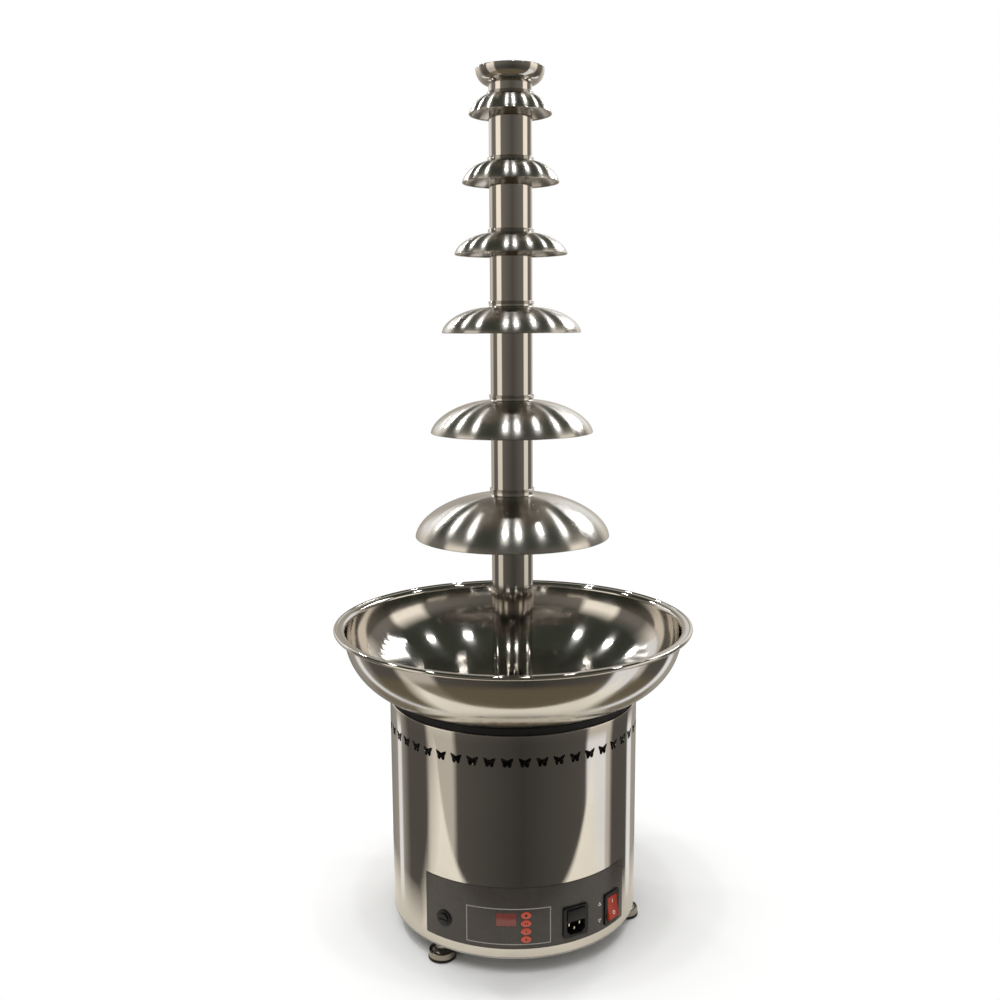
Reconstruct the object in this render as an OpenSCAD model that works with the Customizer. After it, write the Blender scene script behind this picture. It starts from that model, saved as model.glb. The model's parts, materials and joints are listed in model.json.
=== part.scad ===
// Seven-level chocolate fountain: heated basin on a drum housing, lift-off tower of domes, driven auger.
// Origin on the floor at the middle of the feet, +Z up, control panel facing -Y. All sizes in millimetres.

/* [Show] */
// Sub-part to draw, or all of them

/* [Base housing] */
// Outer diameter of the drum housing
body_d = 305.6; // [280:0.2:340]
// Height of the drum housing, bottom plate included
body_h = 268.5; // [245:0.5:300]
// Sheet thickness of the housing
shell_t = 1.2; // [0.8:0.1:2]
// Thickness of the bottom plate
plate_t = 1.5; // [1:0.1:3]
// Width of the inward flange at the housing's top
shell_lip = 13; // [8:0.5:20]

/* [Vents] */
// Number of butterfly vents around the housing
vent_count = 48; // [12:1:54]
// Distance of the vents' middle below the housing's upper edge
vent_drop = 31.1; // [20:0.1:44]
// Width of one vent
vent_w = 14.5; // [8:0.1:15]
// Height of one vent
vent_h = 11.4; // [6:0.1:14]
// Angle of one vent from the panel's middle, towards the right
vent_angle = -10.55; // [-30:0.05:30]
// Diameter of the round vents in the bottom plate
floor_vent_d = 8; // [4:0.5:12]
// Number of round vents in each ring of the bottom plate
floor_vents = 20; // [8:1:24]

/* [Basin] */
// Outer diameter of the basin's wall below the lip
basin_wall_d = 414; // [390:1:450]
// Width of the lip around the wall, its roll included
lip_w = 12.5; // [11:0.5:24]
// Height of the lip's top above the curved part of the wall
lip_h = 6.5; // [6.5:0.5:15]
// Width of the curved part of the wall
curve_w = 85; // [70:0.5:95]
// Height of the curved part of the wall
basin_drop = 80; // [60:0.5:95]
// Height of the floor's underside above the housing
basin_lift = 4.5; // [2:0.1:10]
// Sheet thickness of the basin
basin_t = 1.2; // [0.8:0.1:2]
// Roll radius at the lip's edge
basin_bead = 2.5; // [1.6:0.1:3]
// Diameter of the pins that centre the tower
tower_pin_d = 6; // [4:0.5:8]
// Height of the pins that centre the tower
tower_pin_h = 12; // [8:0.5:20]

/* [Tower tubes] */
// Outer diameter of the tower tubes
tube_d = 50; // [46:0.5:54]
// Wall of the tower tubes
tube_t = 1.5; // [1:0.1:1.9]
// Width of the inlet arches at the foot of the tower
inlet_arch_w = 18; // [10:0.5:24]
// Height of the inlet arches
inlet_arch_h = 30; // [20:0.5:60]
// Radial clearance where a tube slides into the collar below
socket_fit = 0.15; // [0.1:0.01:0.25]

/* [Domes] */
// Sheet thickness of the domes
dome_t = 1.2; // [0.8:0.1:1.8]
// Wall of the collars
collar_t = 1; // [0.8:0.1:2]
// Roll radius of the two rings around each collar
collar_bead = 0.8; // [0.5:0.1:1.5]
// Distance between the two rings
collar_pitch = 1.9; // [1:0.1:3.5]
// Fillet between the domes and their collars
collar_fillet = 1.5; // [0.5:0.1:3]
// Roll radius at the domes' rims
rim_bead = 0.9; // [0.6:0.1:1.2]
// Depth of the collar below the shoulder
sleeve_h = 16; // [12:0.5:18]
// Depth of the joint between two tubes below the shoulder
joint_h = 6; // [3:0.5:9]

/* [Tier 1, the lowest] */
// Diameter of the dome
dome_1_d = 235.4; // [200:0.2:260]
// Height of the dome's rim above the basin's lip
dome_1_up = 107.5; // [90:0.1:130]
// Height of the dome above its rim
dome_1_rise = 50.7; // [40:0.1:60]
// Height of the collar above the dome
dome_1_collar = 8; // [4:0.1:12]
// Fullness of the dome's curve: 2 is an ellipse, less is slimmer
dome_1_power = 1.75; // [1.3:0.01:2.2]

/* [Tier 2] */
// Diameter of the dome
dome_2_d = 194.6; // [170:0.2:220]
// Height of the dome's rim above the shoulder below
dome_2_up = 75.3; // [60:0.1:95]
// Height of the dome above its rim
dome_2_rise = 38.5; // [30:0.1:46]
// Height of the collar above the dome
dome_2_collar = 6.9; // [4:0.1:12]
// Fullness of the dome's curve: 2 is an ellipse, less is slimmer
dome_2_power = 1.7; // [1.3:0.01:2.2]

/* [Tier 3] */
// Diameter of the dome
dome_3_d = 164.8; // [140:0.2:190]
// Height of the dome's rim above the shoulder below
dome_3_up = 79.5; // [60:0.1:100]
// Height of the dome above its rim
dome_3_rise = 30; // [24:0.1:36]
// Height of the collar above the dome
dome_3_collar = 7; // [4:0.1:12]
// Fullness of the dome's curve: 2 is an ellipse, less is slimmer
dome_3_power = 1.78; // [1.3:0.01:2.2]

/* [Tier 4] */
// Diameter of the dome
dome_4_d = 132.4; // [115:0.2:155]
// Height of the dome's rim above the shoulder below
dome_4_up = 60.5; // [45:0.1:80]
// Height of the dome above its rim
dome_4_rise = 24; // [20:0.1:30]
// Height of the collar above the dome
dome_4_collar = 5; // [3:0.1:10]
// Fullness of the dome's curve: 2 is an ellipse, less is slimmer
dome_4_power = 1.71; // [1.3:0.01:2.2]

/* [Tier 5] */
// Diameter of the dome
dome_5_d = 113; // [100:0.2:130]
// Height of the dome's rim above the shoulder below
dome_5_up = 57; // [45:0.1:75]
// Height of the dome above its rim
dome_5_rise = 23.6; // [20:0.1:28]
// Height of the collar above the dome
dome_5_collar = 5; // [3:0.1:10]
// Fullness of the dome's curve: 2 is an ellipse, less is slimmer
dome_5_power = 1.65; // [1.3:0.01:2.2]

/* [Tier 6] */
// Diameter of the dome
dome_6_d = 96; // [86:0.2:110]
// Height of the dome's rim above the shoulder below
dome_6_up = 52.4; // [42:0.1:70]
// Height of the dome above its rim
dome_6_rise = 21; // [18.5:0.1:24]
// Height of the collar above the dome
dome_6_collar = 3.5; // [3:0.1:6]
// Fullness of the dome's curve: 2 is an ellipse, less is slimmer
dome_6_power = 1.45; // [1.3:0.01:2.2]

/* [Crown] */
// Rim diameter of the crown cup
crown_d = 79.6; // [70:0.2:95]
// Height of the crown cup
crown_h = 18; // [14:0.5:40]
// Gap between the crown cup and the topmost collar
crown_gap = 8.5; // [1:0.5:12]
// Fullness of the cup's curve: 2 is an ellipse, less is slimmer
crown_power = 2; // [1.3:0.01:2.2]

/* [Auger] */
// Diameter of the auger's shaft
auger_shaft_d = 16; // [15:0.5:20]
// Gap between the auger's flight and the tube
auger_gap = 1.3; // [1:0.1:2.5]
// Rise of the flight in one turn
auger_pitch = 45; // [35:1:60]
// Thickness of the flight
flight_t = 2; // [1.5:0.1:3]
// Height of the flight's start above the basin floor
flight_start = 7; // [5:0.5:14]
// Gap of the weld between flight and shaft
weld_gap = 0.25; // [0.2:0.01:0.4]

/* [Drive] */
// Diameter of the drive shaft
shaft_d = 12; // [10:0.5:12.5]
// Width across flats of the drive hexagon in the auger's foot
hex_af = 10; // [8:0.1:10.5]
// Height of the drive hexagon
hex_h = 26; // [15:0.5:40]
// Clearance of the drive hexagon on each flat
hex_fit = 0.15; // [0.1:0.01:0.25]
// Radial running clearance of the shaft in its bush
running_fit = 0.05; // [0.02:0.01:0.09]
// Diameter of the motor
motor_d = 76; // [60:1:90]
// Length of the motor
motor_h = 98; // [70:1:110]
// Diameter of the gearbox
gearbox_d = 88; // [84:1:110]
// Length of the gearbox
gearbox_h = 45; // [30:1:60]
// Distance of the deck's top below the basin floor
deck_drop = 53.5; // [50.5:0.5:68]
// Thickness of the deck
deck_t = 2; // [1.5:0.1:3]

/* [Heater] */
// Distance of the heater's edge inside the edge of the flat floor
heater_inset = 22; // [19.5:0.5:40]
// Inner diameter of the heater and its insulation
heater_hole_d = 84; // [70:1:100]
// Thickness of the heater ring
heater_t = 6; // [4:0.5:8]
// Thickness of the insulation
insulation_t = 10; // [5:0.5:14]

/* [Control panel] */
// Half of the angle that the panel covers
panel_half = 50; // [48:0.5:58]
// Height of the panel's lower edge above the housing's
panel_up = 12.5; // [8:0.5:20]
// Height of the panel
panel_h = 75; // [68:0.5:90]
// Thickness of the panel
panel_t = 1; // [0.8:0.1:2]
// Overlap of the panel on the housing at each edge
panel_lap = 3.5; // [2:0.5:6]
// Clearance around the parts in the panel's cut-outs
cutout_fit = 0.3; // [0.2:0.05:0.5]
// Angle of the display from the panel's middle
display_angle = -11.3; // [-14:0.05:-10]
// Height of the display's middle above the panel's lower edge
display_up = 36.3; // [29:0.1:42]
// Width of the display
display_w = 23.3; // [18:0.1:24]
// Height of the display
display_h = 16.3; // [10:0.1:20]
// Angle of the row of buttons
button_angle = -2.75; // [-3:0.05:2]
// Height of the lowest button's middle above the panel's lower edge
button_up = 12.2; // [11:0.1:14]
// Distance between buttons
button_step = 9.85; // [9.5:0.05:10.5]
// Width of a button
button_w = 12.8; // [9:0.1:13]
// Height of a button
button_h = 8.6; // [6:0.1:8.7]
// How far the buttons stand out of the panel
button_out = 1; // [0.8:0.1:2]
// Travel of a button
button_travel = 0.6; // [0.3:0.1:1]

/* [Mains inlet] */
// Angle of the inlet's middle
inlet_angle = 19.5; // [18:0.1:20]
// Height of the inlet's middle above the panel's lower edge
inlet_up = 26.15; // [23:0.05:29]
// Width of the inlet's flange
inlet_w = 32.7; // [31.5:0.1:34]
// Height of the inlet's flange
inlet_h = 37.5; // [37:0.1:40]
// How far the inlet's flange stands out
inlet_out = 2.2; // [1.5:0.1:4]
// Depth of the inlet behind the panel
inlet_depth = 24; // [22:0.5:30]
// Pull-out clearance around the fuse drawer
drawer_fit = 0.3; // [0.2:0.05:0.5]

/* [Mains switch] */
// Angle of the switch's middle
switch_angle = 40.6; // [40:0.1:41]
// Height of the switch's middle above the panel's lower edge
switch_up = 24; // [21:0.1:27]
// Width of the switch's frame
switch_w = 26.5; // [25:0.1:27]
// Height of the switch's frame
switch_h = 39; // [37:0.1:41]
// How far the switch's frame stands out
switch_out = 2; // [1.5:0.1:4]
// Width of the rocker
rocker_w = 18; // [15:0.1:18.5]
// Radius of the rocker's ends about its pivot
rocker_r = 15; // [13:0.1:15.2]
// Tilt of the rocker to each side
rocker_tilt = 10; // [6:0.5:14]
// Clearance around the rocker
rocker_fit = 0.3; // [0.2:0.05:0.5]

/* [Fuse holder] */
// Angle of the fuse holder
fuse_angle = -39.75; // [-41:0.05:-38]
// Height of the fuse holder above the panel's lower edge
fuse_up = 26; // [17:0.1:42]
// Diameter of the fuse holder's flange
fuse_d = 19.5; // [17:0.1:22]
// How far the flange stands out
fuse_out = 1.8; // [1.2:0.1:3]
// Diameter of the turning fuse cap
fuse_cap_d = 13; // [12.5:0.1:15]
// How far the cap stands out of the flange
fuse_cap_out = 1.5; // [1.2:0.1:2.5]
// Length of the fuse holder behind the panel
fuse_depth = 32; // [28:0.5:38]

/* [Feet] */
// Distance of the feet's middle from the housing's outside
foot_inset = 10.8; // [10.3:0.1:20]
// Angle of the first foot from the panel's middle
foot_angle = -45; // [-50:0.5:-40]
// Diameter of a foot's pad
foot_d = 33; // [28:0.5:38]
// Thickness of the rubber sole
sole_t = 3; // [2:0.5:4]
// Height of the metal pad
pad_h = 8; // [7:0.5:9]
// Thread diameter of the foot's stud
stud_d = 8; // [6:0.5:8]
// Width across flats of the stud's hexagon and its nut
stud_af = 13; // [11:0.5:13]
// Height of the stud's hexagon
stud_hex_h = 5; // [3:0.5:6]
// Length of the stud inside the housing
stud_in = 26; // [20:0.5:36]
// Gap between the stud's hexagon and the housing, for levelling
foot_gap = 4; // [3.5:0.5:14]
// Running clearance of the stud in nut and pad
stud_fit = 0.1; // [0.05:0.01:0.1]

/* [Hidden] */
$fn = 96;
eps = 0.5;
steps = 16;
foot_count = 3;
tier_count = 6;

stud_r = stud_d / 2;
foot_r = foot_d / 2;
sole_edge = 0.5;
pad_r = foot_r - sole_edge;
pad_edge_h = 4.5;
pad_round = 0.8;
pad_slope = 60;
pad_neck = 1.5;
pad_neck_r = corner_r(stud_af) + pad_neck;
pad_top_z = sole_t + pad_h;
stud_lift = 3;
stud_z = sole_t + stud_lift;
hex_gap = 0.5;
stud_hex_z = pad_top_z + hex_gap;
foot_nut_h = 6.5;
foot_hole_fit = 0.4;

body_r = body_d / 2;
body_z = stud_hex_z + stud_hex_h + foot_gap;
body_top_z = body_z + body_h;
vent_z = body_top_z - vent_drop;
foot_circle_r = body_r - foot_inset;
shell_ri = body_r - shell_t;
shell_z = body_z + plate_t;
stud_top_z = shell_z + stud_in;
panel_z = body_z + panel_up;
panel_top_z = panel_z + panel_h;
panel_ri = body_r;
panel_ro = body_r + panel_t;
panel_reach = 4;
window_half = panel_half - asin(3 * panel_lap / body_r);
window_z = panel_z + panel_lap;
window_top_z = panel_top_z - panel_lap;

wall_r = basin_wall_d / 2;
basin_r = wall_r + lip_w;
floor_r = wall_r - curve_w;
basin_floor_z = body_top_z + basin_lift;
floor_top_z = basin_floor_z + basin_t;
basin_curve_z = basin_floor_z + basin_drop;
basin_rim_z = basin_curve_z + lip_h;
hub_r = 16;
lip_turn_r = 4.2;
roll_rise = 1;

tube_r = tube_d / 2;
tube_ri = tube_r - tube_t;
socket_r = tube_r + socket_fit;
collar_r = socket_r + collar_t;
shoulder_r = collar_r + collar_fillet;
arch_reach = 4;

dome_1_z = basin_rim_z + dome_1_up;
dome_2_z = dome_1_z + dome_1_rise + dome_2_up;
dome_3_z = dome_2_z + dome_2_rise + dome_3_up;
dome_4_z = dome_3_z + dome_3_rise + dome_4_up;
dome_5_z = dome_4_z + dome_4_rise + dome_5_up;
dome_6_z = dome_5_z + dome_5_rise + dome_6_up;
dome_ds = [dome_1_d, dome_2_d, dome_3_d, dome_4_d, dome_5_d, dome_6_d];
dome_zs = [dome_1_z, dome_2_z, dome_3_z, dome_4_z, dome_5_z, dome_6_z];
dome_rises = [dome_1_rise, dome_2_rise, dome_3_rise, dome_4_rise, dome_5_rise, dome_6_rise];
dome_collars = [
    dome_1_collar, dome_2_collar, dome_3_collar, dome_4_collar, dome_5_collar, dome_6_collar
];
dome_powers = [
    dome_1_power, dome_2_power, dome_3_power, dome_4_power, dome_5_power, dome_6_power
];

function shoulder_z(i) = dome_zs[i] + dome_rises[i];
function tube_top_z(i) = shoulder_z(i) - joint_h;
function tube_foot_z(i) = i == 0 ? floor_top_z : tube_top_z(i - 1);

crown_r = crown_d / 2;
crown_foot_z = tube_top_z(tier_count - 1);
crown_cup_z = shoulder_z(tier_count - 1) + dome_6_collar + crown_gap;
crown_z = crown_cup_z + crown_h;

auger_r = tube_ri - auger_gap;
auger_shaft_r = auger_shaft_d / 2;
auger_lift = 4.5;
auger_z = floor_top_z + auger_lift;
flight_z = floor_top_z + flight_start;
flight_drop = 4.5;
flight_top_z = crown_cup_z - flight_drop;
auger_tip_h = 5;
auger_top_z = flight_top_z + auger_tip_h;
flight_steps = 20;
flight_count = floor((flight_top_z - flight_z - flight_t) / auger_pitch * flight_steps);

shaft_r = shaft_d / 2;
deck_z = basin_floor_z - deck_drop;
bush_t = 3;
bush_r = shaft_r + bush_t;
seal_w = 5;
seal_r = shaft_r + seal_w;
housing_flange_gap = 1.5;
housing_flange_r = tube_ri - housing_flange_gap;
housing_flange_h = 3;
housing_flange_edge = 1;
housing_drop = 21.5;
housing_z = basin_floor_z - housing_drop;
seal_drop = 5;
seal_z = basin_floor_z - seal_drop;
seal_sink = 1;
seal_top_z = floor_top_z + housing_flange_h - seal_sink;
seal_nut_af = 40;
seal_nut_h = 8;
coupling_r = 13;
coupling_lift = 3;
coupling_z = deck_z + coupling_lift;
coupling_gap = 2;
coupling_top_z = housing_z - coupling_gap;
coupling_mid_z = (coupling_z + coupling_top_z) / 2;
shaft_end_gap = 0.5;
output_gap = 1;
hex_top_z = auger_z + hex_h;
hex_end_gap = 2;
hex_socket_h = hex_h + hex_end_gap;

deck_gap = 0.3;
deck_r = shell_ri - deck_gap;
deck_hole_r = 20;
gearbox_z = deck_z - deck_t - gearbox_h;
gearbox_bore_z = gearbox_z + gearbox_h / 3;
output_z = gearbox_bore_z + output_gap;
motor_z = gearbox_z - motor_h;
motor_screw_count = 4;
motor_screw_circle_r = 34;
motor_screw_r = 3;
motor_screw_head_r = 5;
motor_screw_head_h = 4;
motor_screw_l = 14;
motor_cap_h = 12;
motor_cap_in = 3;

post_count = 4;
post_angle = 45;
post_r = 6;
post_gap = 6;
heater_r = floor_r - heater_inset;
post_circle_r = heater_r + post_gap + post_r;
post_stud_r = 3;
post_stud_h = 8;
post_nut_af = 10;
post_nut_h = 5;
screw_fit = 0.2;

bracket_count = 3;
bracket_angle = 15;
bracket_half = 3;
bracket_t = 1.5;
bracket_h = 12;
bracket_d = 17;
deck_bracket_count = 4;
deck_bracket_angle = 0;
bottom_screw_inset = 11;
bottom_screw_circle_r = shell_ri - bottom_screw_inset;
bottom_screw_r = 2;
bottom_screw_head_r = 3.8;
bottom_screw_head_h = 2.4;
bottom_screw_l = 8;

heater_hole_r = heater_hole_d / 2;
heater_z = basin_floor_z - heater_t;
insulation_z = heater_z - insulation_t;
thermostat_r = 7;
thermostat_h = 10;
thermostat_angle = 90;
tab_w = 6.3;
tab_t = 0.8;
tab_l = 8;

gasket_ri = body_r - shell_lip;
gasket_inset = 1.5;
gasket_ro = body_r - gasket_inset;
gasket_gap = 0.3;

button_face_r = panel_ro + button_out;
button_z = panel_z + button_up;
button_flange = 1.2;
button_flange_t = 1.2;
button_stop_gap = 0.5;
button_fit = 0.25;
// Lens outline of a button: two equal arcs, their centres button_arc_off off the middle
button_arc_r = (button_w * button_w + button_h * button_h) / (4 * button_h);
button_arc_off = button_arc_r - button_h / 2;

board_angle = -7;
board_depth = 14.8;
board_r = panel_ri - board_depth;
board_w = 46;
board_h = 56;
board_t = 1.6;
board_up = 30;
board_z = panel_z + board_up;
display_z = panel_z + display_up;
board_post_r = 2.5;
board_post_in = 4;
key_switch_s = 5;
key_switch_gap = 1.2;
display_gap = 1.5;
display_rim = 1;
window_sink = 0.2;

inlet_rim_x = 2.85;
inlet_rim_z = 1.8;
inlet_corner_r = 3;
inlet_body_w = inlet_w - 2 * inlet_rim_x;
inlet_body_h = inlet_h - 2 * inlet_rim_z;
cavity_w = 24;
cavity_h = 16;
cavity_chamfer = 5;
cavity_depth = 17;
inlet_wall = 1.5;
cavity_z = -inlet_body_h / 2 + inlet_wall;
drawer_slot_w = 22;
drawer_slot_h = inlet_body_h - cavity_h - 3 * inlet_wall;
drawer_slot_z = cavity_z + cavity_h + inlet_wall;
drawer_depth = 19;
drawer_end_gap = 1;
drawer_front_t = 6;
drawer_side_t = 3;
drawer_lip = 1;
drawer_face_t = 1.6;
fuse_tube_d = 5.2;
fuse_tube_l = 20;
blade_t = 2;
blade_h = 4;
blade_gap = 14;
blade_l = 13;
line_blade_up = 10.5;
earth_blade_up = 5;
line_blade_z = cavity_z + line_blade_up;
earth_blade_z = cavity_z + earth_blade_up;
inlet_z = panel_z + inlet_up;
inlet_face_r = panel_ro + inlet_out;
inlet_back_r = panel_ro - inlet_depth;

switch_z = panel_z + switch_up;
switch_face_r = panel_ro + switch_out;
pivot_depth = 5;
pivot_r = switch_face_r - pivot_depth;
switch_back_gap = 2;
switch_back_t = 2;
switch_back_r = pivot_r - rocker_r - switch_back_gap - switch_back_t;
switch_corner_r = 2;
switch_wall = 1.7;
switch_opening_w = rocker_w + 2 * rocker_fit;
switch_opening_h = 2 * (rocker_r + rocker_fit);
switch_body_w = switch_opening_w + 2 * switch_wall;
switch_body_h = switch_opening_h + 2 * switch_wall;
trunnion_r = 1.5;
trunnion_l = 1.1;
trunnion_fit = 0.1;
rocker_tip = 7.5;
rocker_valley = 5.6;
rocker_back = 4;

fuse_r = fuse_d / 2;
fuse_z = panel_z + fuse_up;
fuse_face_r = panel_ro + fuse_out;
fuse_body_r = 6.4;
fuse_end_t = 3;
fuse_bore_r = 5;
fuse_cap_r = fuse_cap_d / 2;
fuse_cap_gap = 0.3;
fuse_cap_l = 20;
coin_slot_w = 1.8;
coin_slot_d = 0.9;

basin_steel = [0.80, 0.80, 0.81];
sheet_steel = [0.76, 0.77, 0.78];
plain_steel = [0.62, 0.63, 0.65];
black_plastic = [0.06, 0.06, 0.07];
black_rubber = [0.09, 0.09, 0.09];
panel_grey = [0.24, 0.22, 0.20];
key_red = [0.78, 0.20, 0.15];

// Points of an elliptic arc about (cx, cz) with half-axes ax and az
function arc(cx, cz, ax, az, from, to) = [
    for (i = [0:steps])
        let (a = from + (to - from) * i / steps)
        [cx + ax * cos(a), cz + az * sin(a)]
];

// Points of a curve like arc, its fullness set by a power: 2 is the ellipse itself
function bulge(cx, cz, ax, az, power, from, to) = [
    for (i = [0:steps])
        let (a = from + (to - from) * i / steps)
        [cx + ax * pow(cos(a), 2 / power), cz + az * pow(abs(sin(a)), 2 / power) * sign(sin(a))]
];

// Height of the basin's outer face at radius r
function basin_under_z(r) =
    basin_curve_z - basin_drop * sqrt(1 - pow(max(0, r - floor_r) / (wall_r - floor_r), 2));

// Radius across the corners of a hexagon
function corner_r(af) = af / 2 / cos(30);

// Ring between two radii, standing on z = 0
module ring(r_in, r_out, h) {
    rotate_extrude()
        translate([r_in, 0])
            square([r_out - r_in, h]);
}

// Part of a ring that faces -Y, half degrees to each side
module ring_sector(r_in, r_out, half, h) {
    rotate([0, 0, -90 - half])
        rotate_extrude(angle = 2 * half)
            translate([r_in, 0])
                square([r_out - r_in, h]);
}

// Copies at equal steps around the axis
module around(count, first) {
    for (i = [0:count - 1])
        rotate([0, 0, first + i * 360 / count])
            children();
}

// Outline in the panel's plane, pushed outwards from one radius to another
module radial(a, z, r_from, r_to) {
    rotate([0, 0, a])
        translate([0, -r_from, z])
            rotate([90, 0, 0])
                linear_extrude(height = r_to - r_from)
                    children();
}

// Rectangle with round corners
module round_rect(w, h, r) {
    square([w - 2 * r, h], center = true);
    square([w, h - 2 * r], center = true);
    for (sx = [-1, 1], sy = [-1, 1])
        translate([sx * (w / 2 - r), sy * (h / 2 - r)])
            circle(r);
}

// Hexagonal rod with a round bore
module hex_nut(af, bore_r, h) {
    difference() {
        cylinder(r = corner_r(af), h = h, $fn = 6);
        translate([0, 0, -eps])
            cylinder(r = bore_r, h = h + 2 * eps);
    }
}

// Butterfly outline: two upper wings, two lower wings, notches between them
module butterfly() {
    wing = [
        [0, 0.25], [0.2, 0.38], [0.44, 0.5], [0.5, 0.44], [0.45, 0.2], [0.37, 0],
        [0.33, -0.36], [0.22, -0.5], [0.08, -0.45], [0, -0.24]
    ];
    other = [for (i = [len(wing) - 2:-1:1]) [-wing[i][0], wing[i][1]]];
    polygon([for (p = concat(wing, other)) [p[0] * vent_w, p[1] * vent_h]]);
}

// Pointed lens outline of a button, grown on all sides
module lens(grow) {
    intersection_for (s = [-1, 1])
        translate([0, s * button_arc_off])
            circle(button_arc_r + grow);
}

module bottom_plate() {
    color(plain_steel)
        difference() {
            translate([0, 0, body_z])
                cylinder(r = body_r, h = plate_t);
            around(foot_count, foot_angle)
                translate([0, -foot_circle_r, body_z - eps])
                    cylinder(r = stud_r + foot_hole_fit, h = plate_t + 2 * eps);
            around(bracket_count, bracket_angle)
                translate([0, -bottom_screw_circle_r, body_z - eps])
                    cylinder(r = bottom_screw_r + screw_fit, h = plate_t + 2 * eps);
            for (ring_r = [0.38 * body_r, 0.58 * body_r])
                around(floor_vents, 0)
                    translate([0, -ring_r, body_z - eps])
                        cylinder(d = floor_vent_d, h = plate_t + 2 * eps);
        }
}

module bottom_screws() {
    color(plain_steel)
        around(bracket_count, bracket_angle)
            translate([0, -bottom_screw_circle_r, body_z]) {
                cylinder(r = bottom_screw_r, h = bottom_screw_l);
                translate([0, 0, -bottom_screw_head_h])
                    cylinder(r = bottom_screw_head_r, h = bottom_screw_head_h);
            }
}

// Angle bracket on the housing's wall, foot inwards
module bracket(hole_r) {
    difference() {
        union() {
            ring_sector(shell_ri - bracket_t, shell_ri, bracket_half, bracket_h);
            ring_sector(shell_ri - bracket_d, shell_ri, bracket_half, bracket_t);
        }
        translate([0, -bottom_screw_circle_r, -eps])
            cylinder(r = hole_r, h = bracket_t + 2 * eps);
    }
}

module wall_brackets() {
    color(plain_steel) {
        around(bracket_count, bracket_angle)
            translate([0, 0, shell_z])
                bracket(bottom_screw_r);
        around(deck_bracket_count, deck_bracket_angle)
            translate([0, 0, deck_z - deck_t])
                mirror([0, 0, 1])
                    bracket(bottom_screw_r);
    }
}

module housing_shell() {
    color(sheet_steel)
        difference() {
            union() {
                translate([0, 0, shell_z])
                    ring(shell_ri, body_r, body_top_z - shell_z);
                translate([0, 0, body_top_z - shell_t])
                    ring(body_r - shell_lip, shell_ri + eps, shell_t);
            }
            translate([0, 0, window_z])
                ring_sector(shell_ri - eps, body_r + eps, window_half, window_top_z - window_z);
            for (i = [0:vent_count - 1])
                radial(vent_angle + i * 360 / vent_count, vent_z, shell_ri - eps, body_r + eps)
                    butterfly();
        }
}

module support_deck() {
    color(plain_steel)
        difference() {
            translate([0, 0, deck_z - deck_t])
                ring(deck_hole_r, deck_r, deck_t);
            around(motor_screw_count, 0)
                translate([0, -motor_screw_circle_r, deck_z - deck_t - eps])
                    cylinder(r = motor_screw_r + screw_fit, h = deck_t + 2 * eps);
            around(post_count, post_angle)
                translate([0, -post_circle_r, deck_z - deck_t - eps])
                    cylinder(r = post_stud_r + screw_fit, h = deck_t + 2 * eps);
        }
}

// Seal between the housing's top and the basin's curved underside
module top_gasket() {
    top = [
        for (i = [0:steps])
            let (r = gasket_ro + (gasket_ri - gasket_ro) * i / steps)
            [r, basin_under_z(r) - gasket_gap]
    ];
    color(black_rubber)
        rotate_extrude()
            polygon(concat([[gasket_ri, body_top_z], [gasket_ro, body_top_z]], top));
}

module basin_sheet() {
    outer = arc(floor_r, basin_curve_z, wall_r - floor_r, basin_drop, 0, -90);
    inner = arc(floor_r, basin_curve_z, wall_r - floor_r - basin_t, basin_drop - basin_t, -90, 0);
    turn_x = wall_r + lip_turn_r;
    lip_z = basin_rim_z - roll_rise;
    turn_z = lip_z - basin_t - lip_turn_r;
    over = arc(turn_x, turn_z, lip_turn_r + basin_t, lip_turn_r + basin_t, 180, 90);
    under = arc(turn_x, turn_z, lip_turn_r, lip_turn_r, 90, 180);
    rotate_extrude() {
        polygon(concat(
            over,
            [[basin_r - basin_bead, lip_z], [basin_r - basin_bead, lip_z - basin_t]],
            under,
            outer,
            [[hub_r, basin_floor_z], [hub_r, floor_top_z]],
            inner
        ));
        translate([basin_r - basin_bead, basin_rim_z - basin_bead])
            circle(basin_bead);
    }
}

module basin() {
    pin_r = tower_pin_d / 2;
    color(basin_steel)
        union() {
            basin_sheet();
            around(3, 45)
                translate([0, -tube_r - socket_fit - pin_r, basin_floor_z + basin_t / 2])
                    cylinder(r = pin_r, h = tower_pin_h + basin_t / 2);
        }
}

module basin_posts() {
    color(plain_steel)
        around(post_count, post_angle)
            translate([0, -post_circle_r, 0]) {
                translate([0, 0, deck_z])
                    cylinder(r = post_r, h = basin_floor_z - deck_z);
                translate([0, 0, deck_z - deck_t - post_stud_h])
                    cylinder(r = post_stud_r, h = post_stud_h + deck_t);
                translate([0, 0, deck_z - deck_t - post_nut_h])
                    hex_nut(post_nut_af, post_stud_r, post_nut_h);
            }
}

module heater_ring() {
    color([0.66, 0.67, 0.69])
        translate([0, 0, heater_z])
            ring(heater_hole_r, heater_r, heater_t);
}

module insulation_disc() {
    color([0.86, 0.84, 0.76])
        translate([0, 0, insulation_z])
            ring(heater_hole_r, heater_r, insulation_t);
}

module thermostat() {
    color([0.85, 0.83, 0.78])
        rotate([0, 0, thermostat_angle])
            translate([0, -post_circle_r, basin_floor_z - thermostat_h]) {
                cylinder(r = thermostat_r, h = thermostat_h);
                for (s = [-1, 1])
                    translate([s * thermostat_r / 2 - tab_t / 2, -tab_w / 2, -tab_l])
                        cube([tab_t, tab_w, tab_l + eps]);
            }
}

module motor_can() {
    color([0.30, 0.31, 0.33])
        translate([0, 0, motor_z]) {
            cylinder(d = motor_d - 2 * motor_cap_in, h = motor_cap_h);
            translate([0, 0, motor_cap_h])
                cylinder(d = motor_d, h = motor_h - motor_cap_h);
        }
}

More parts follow.
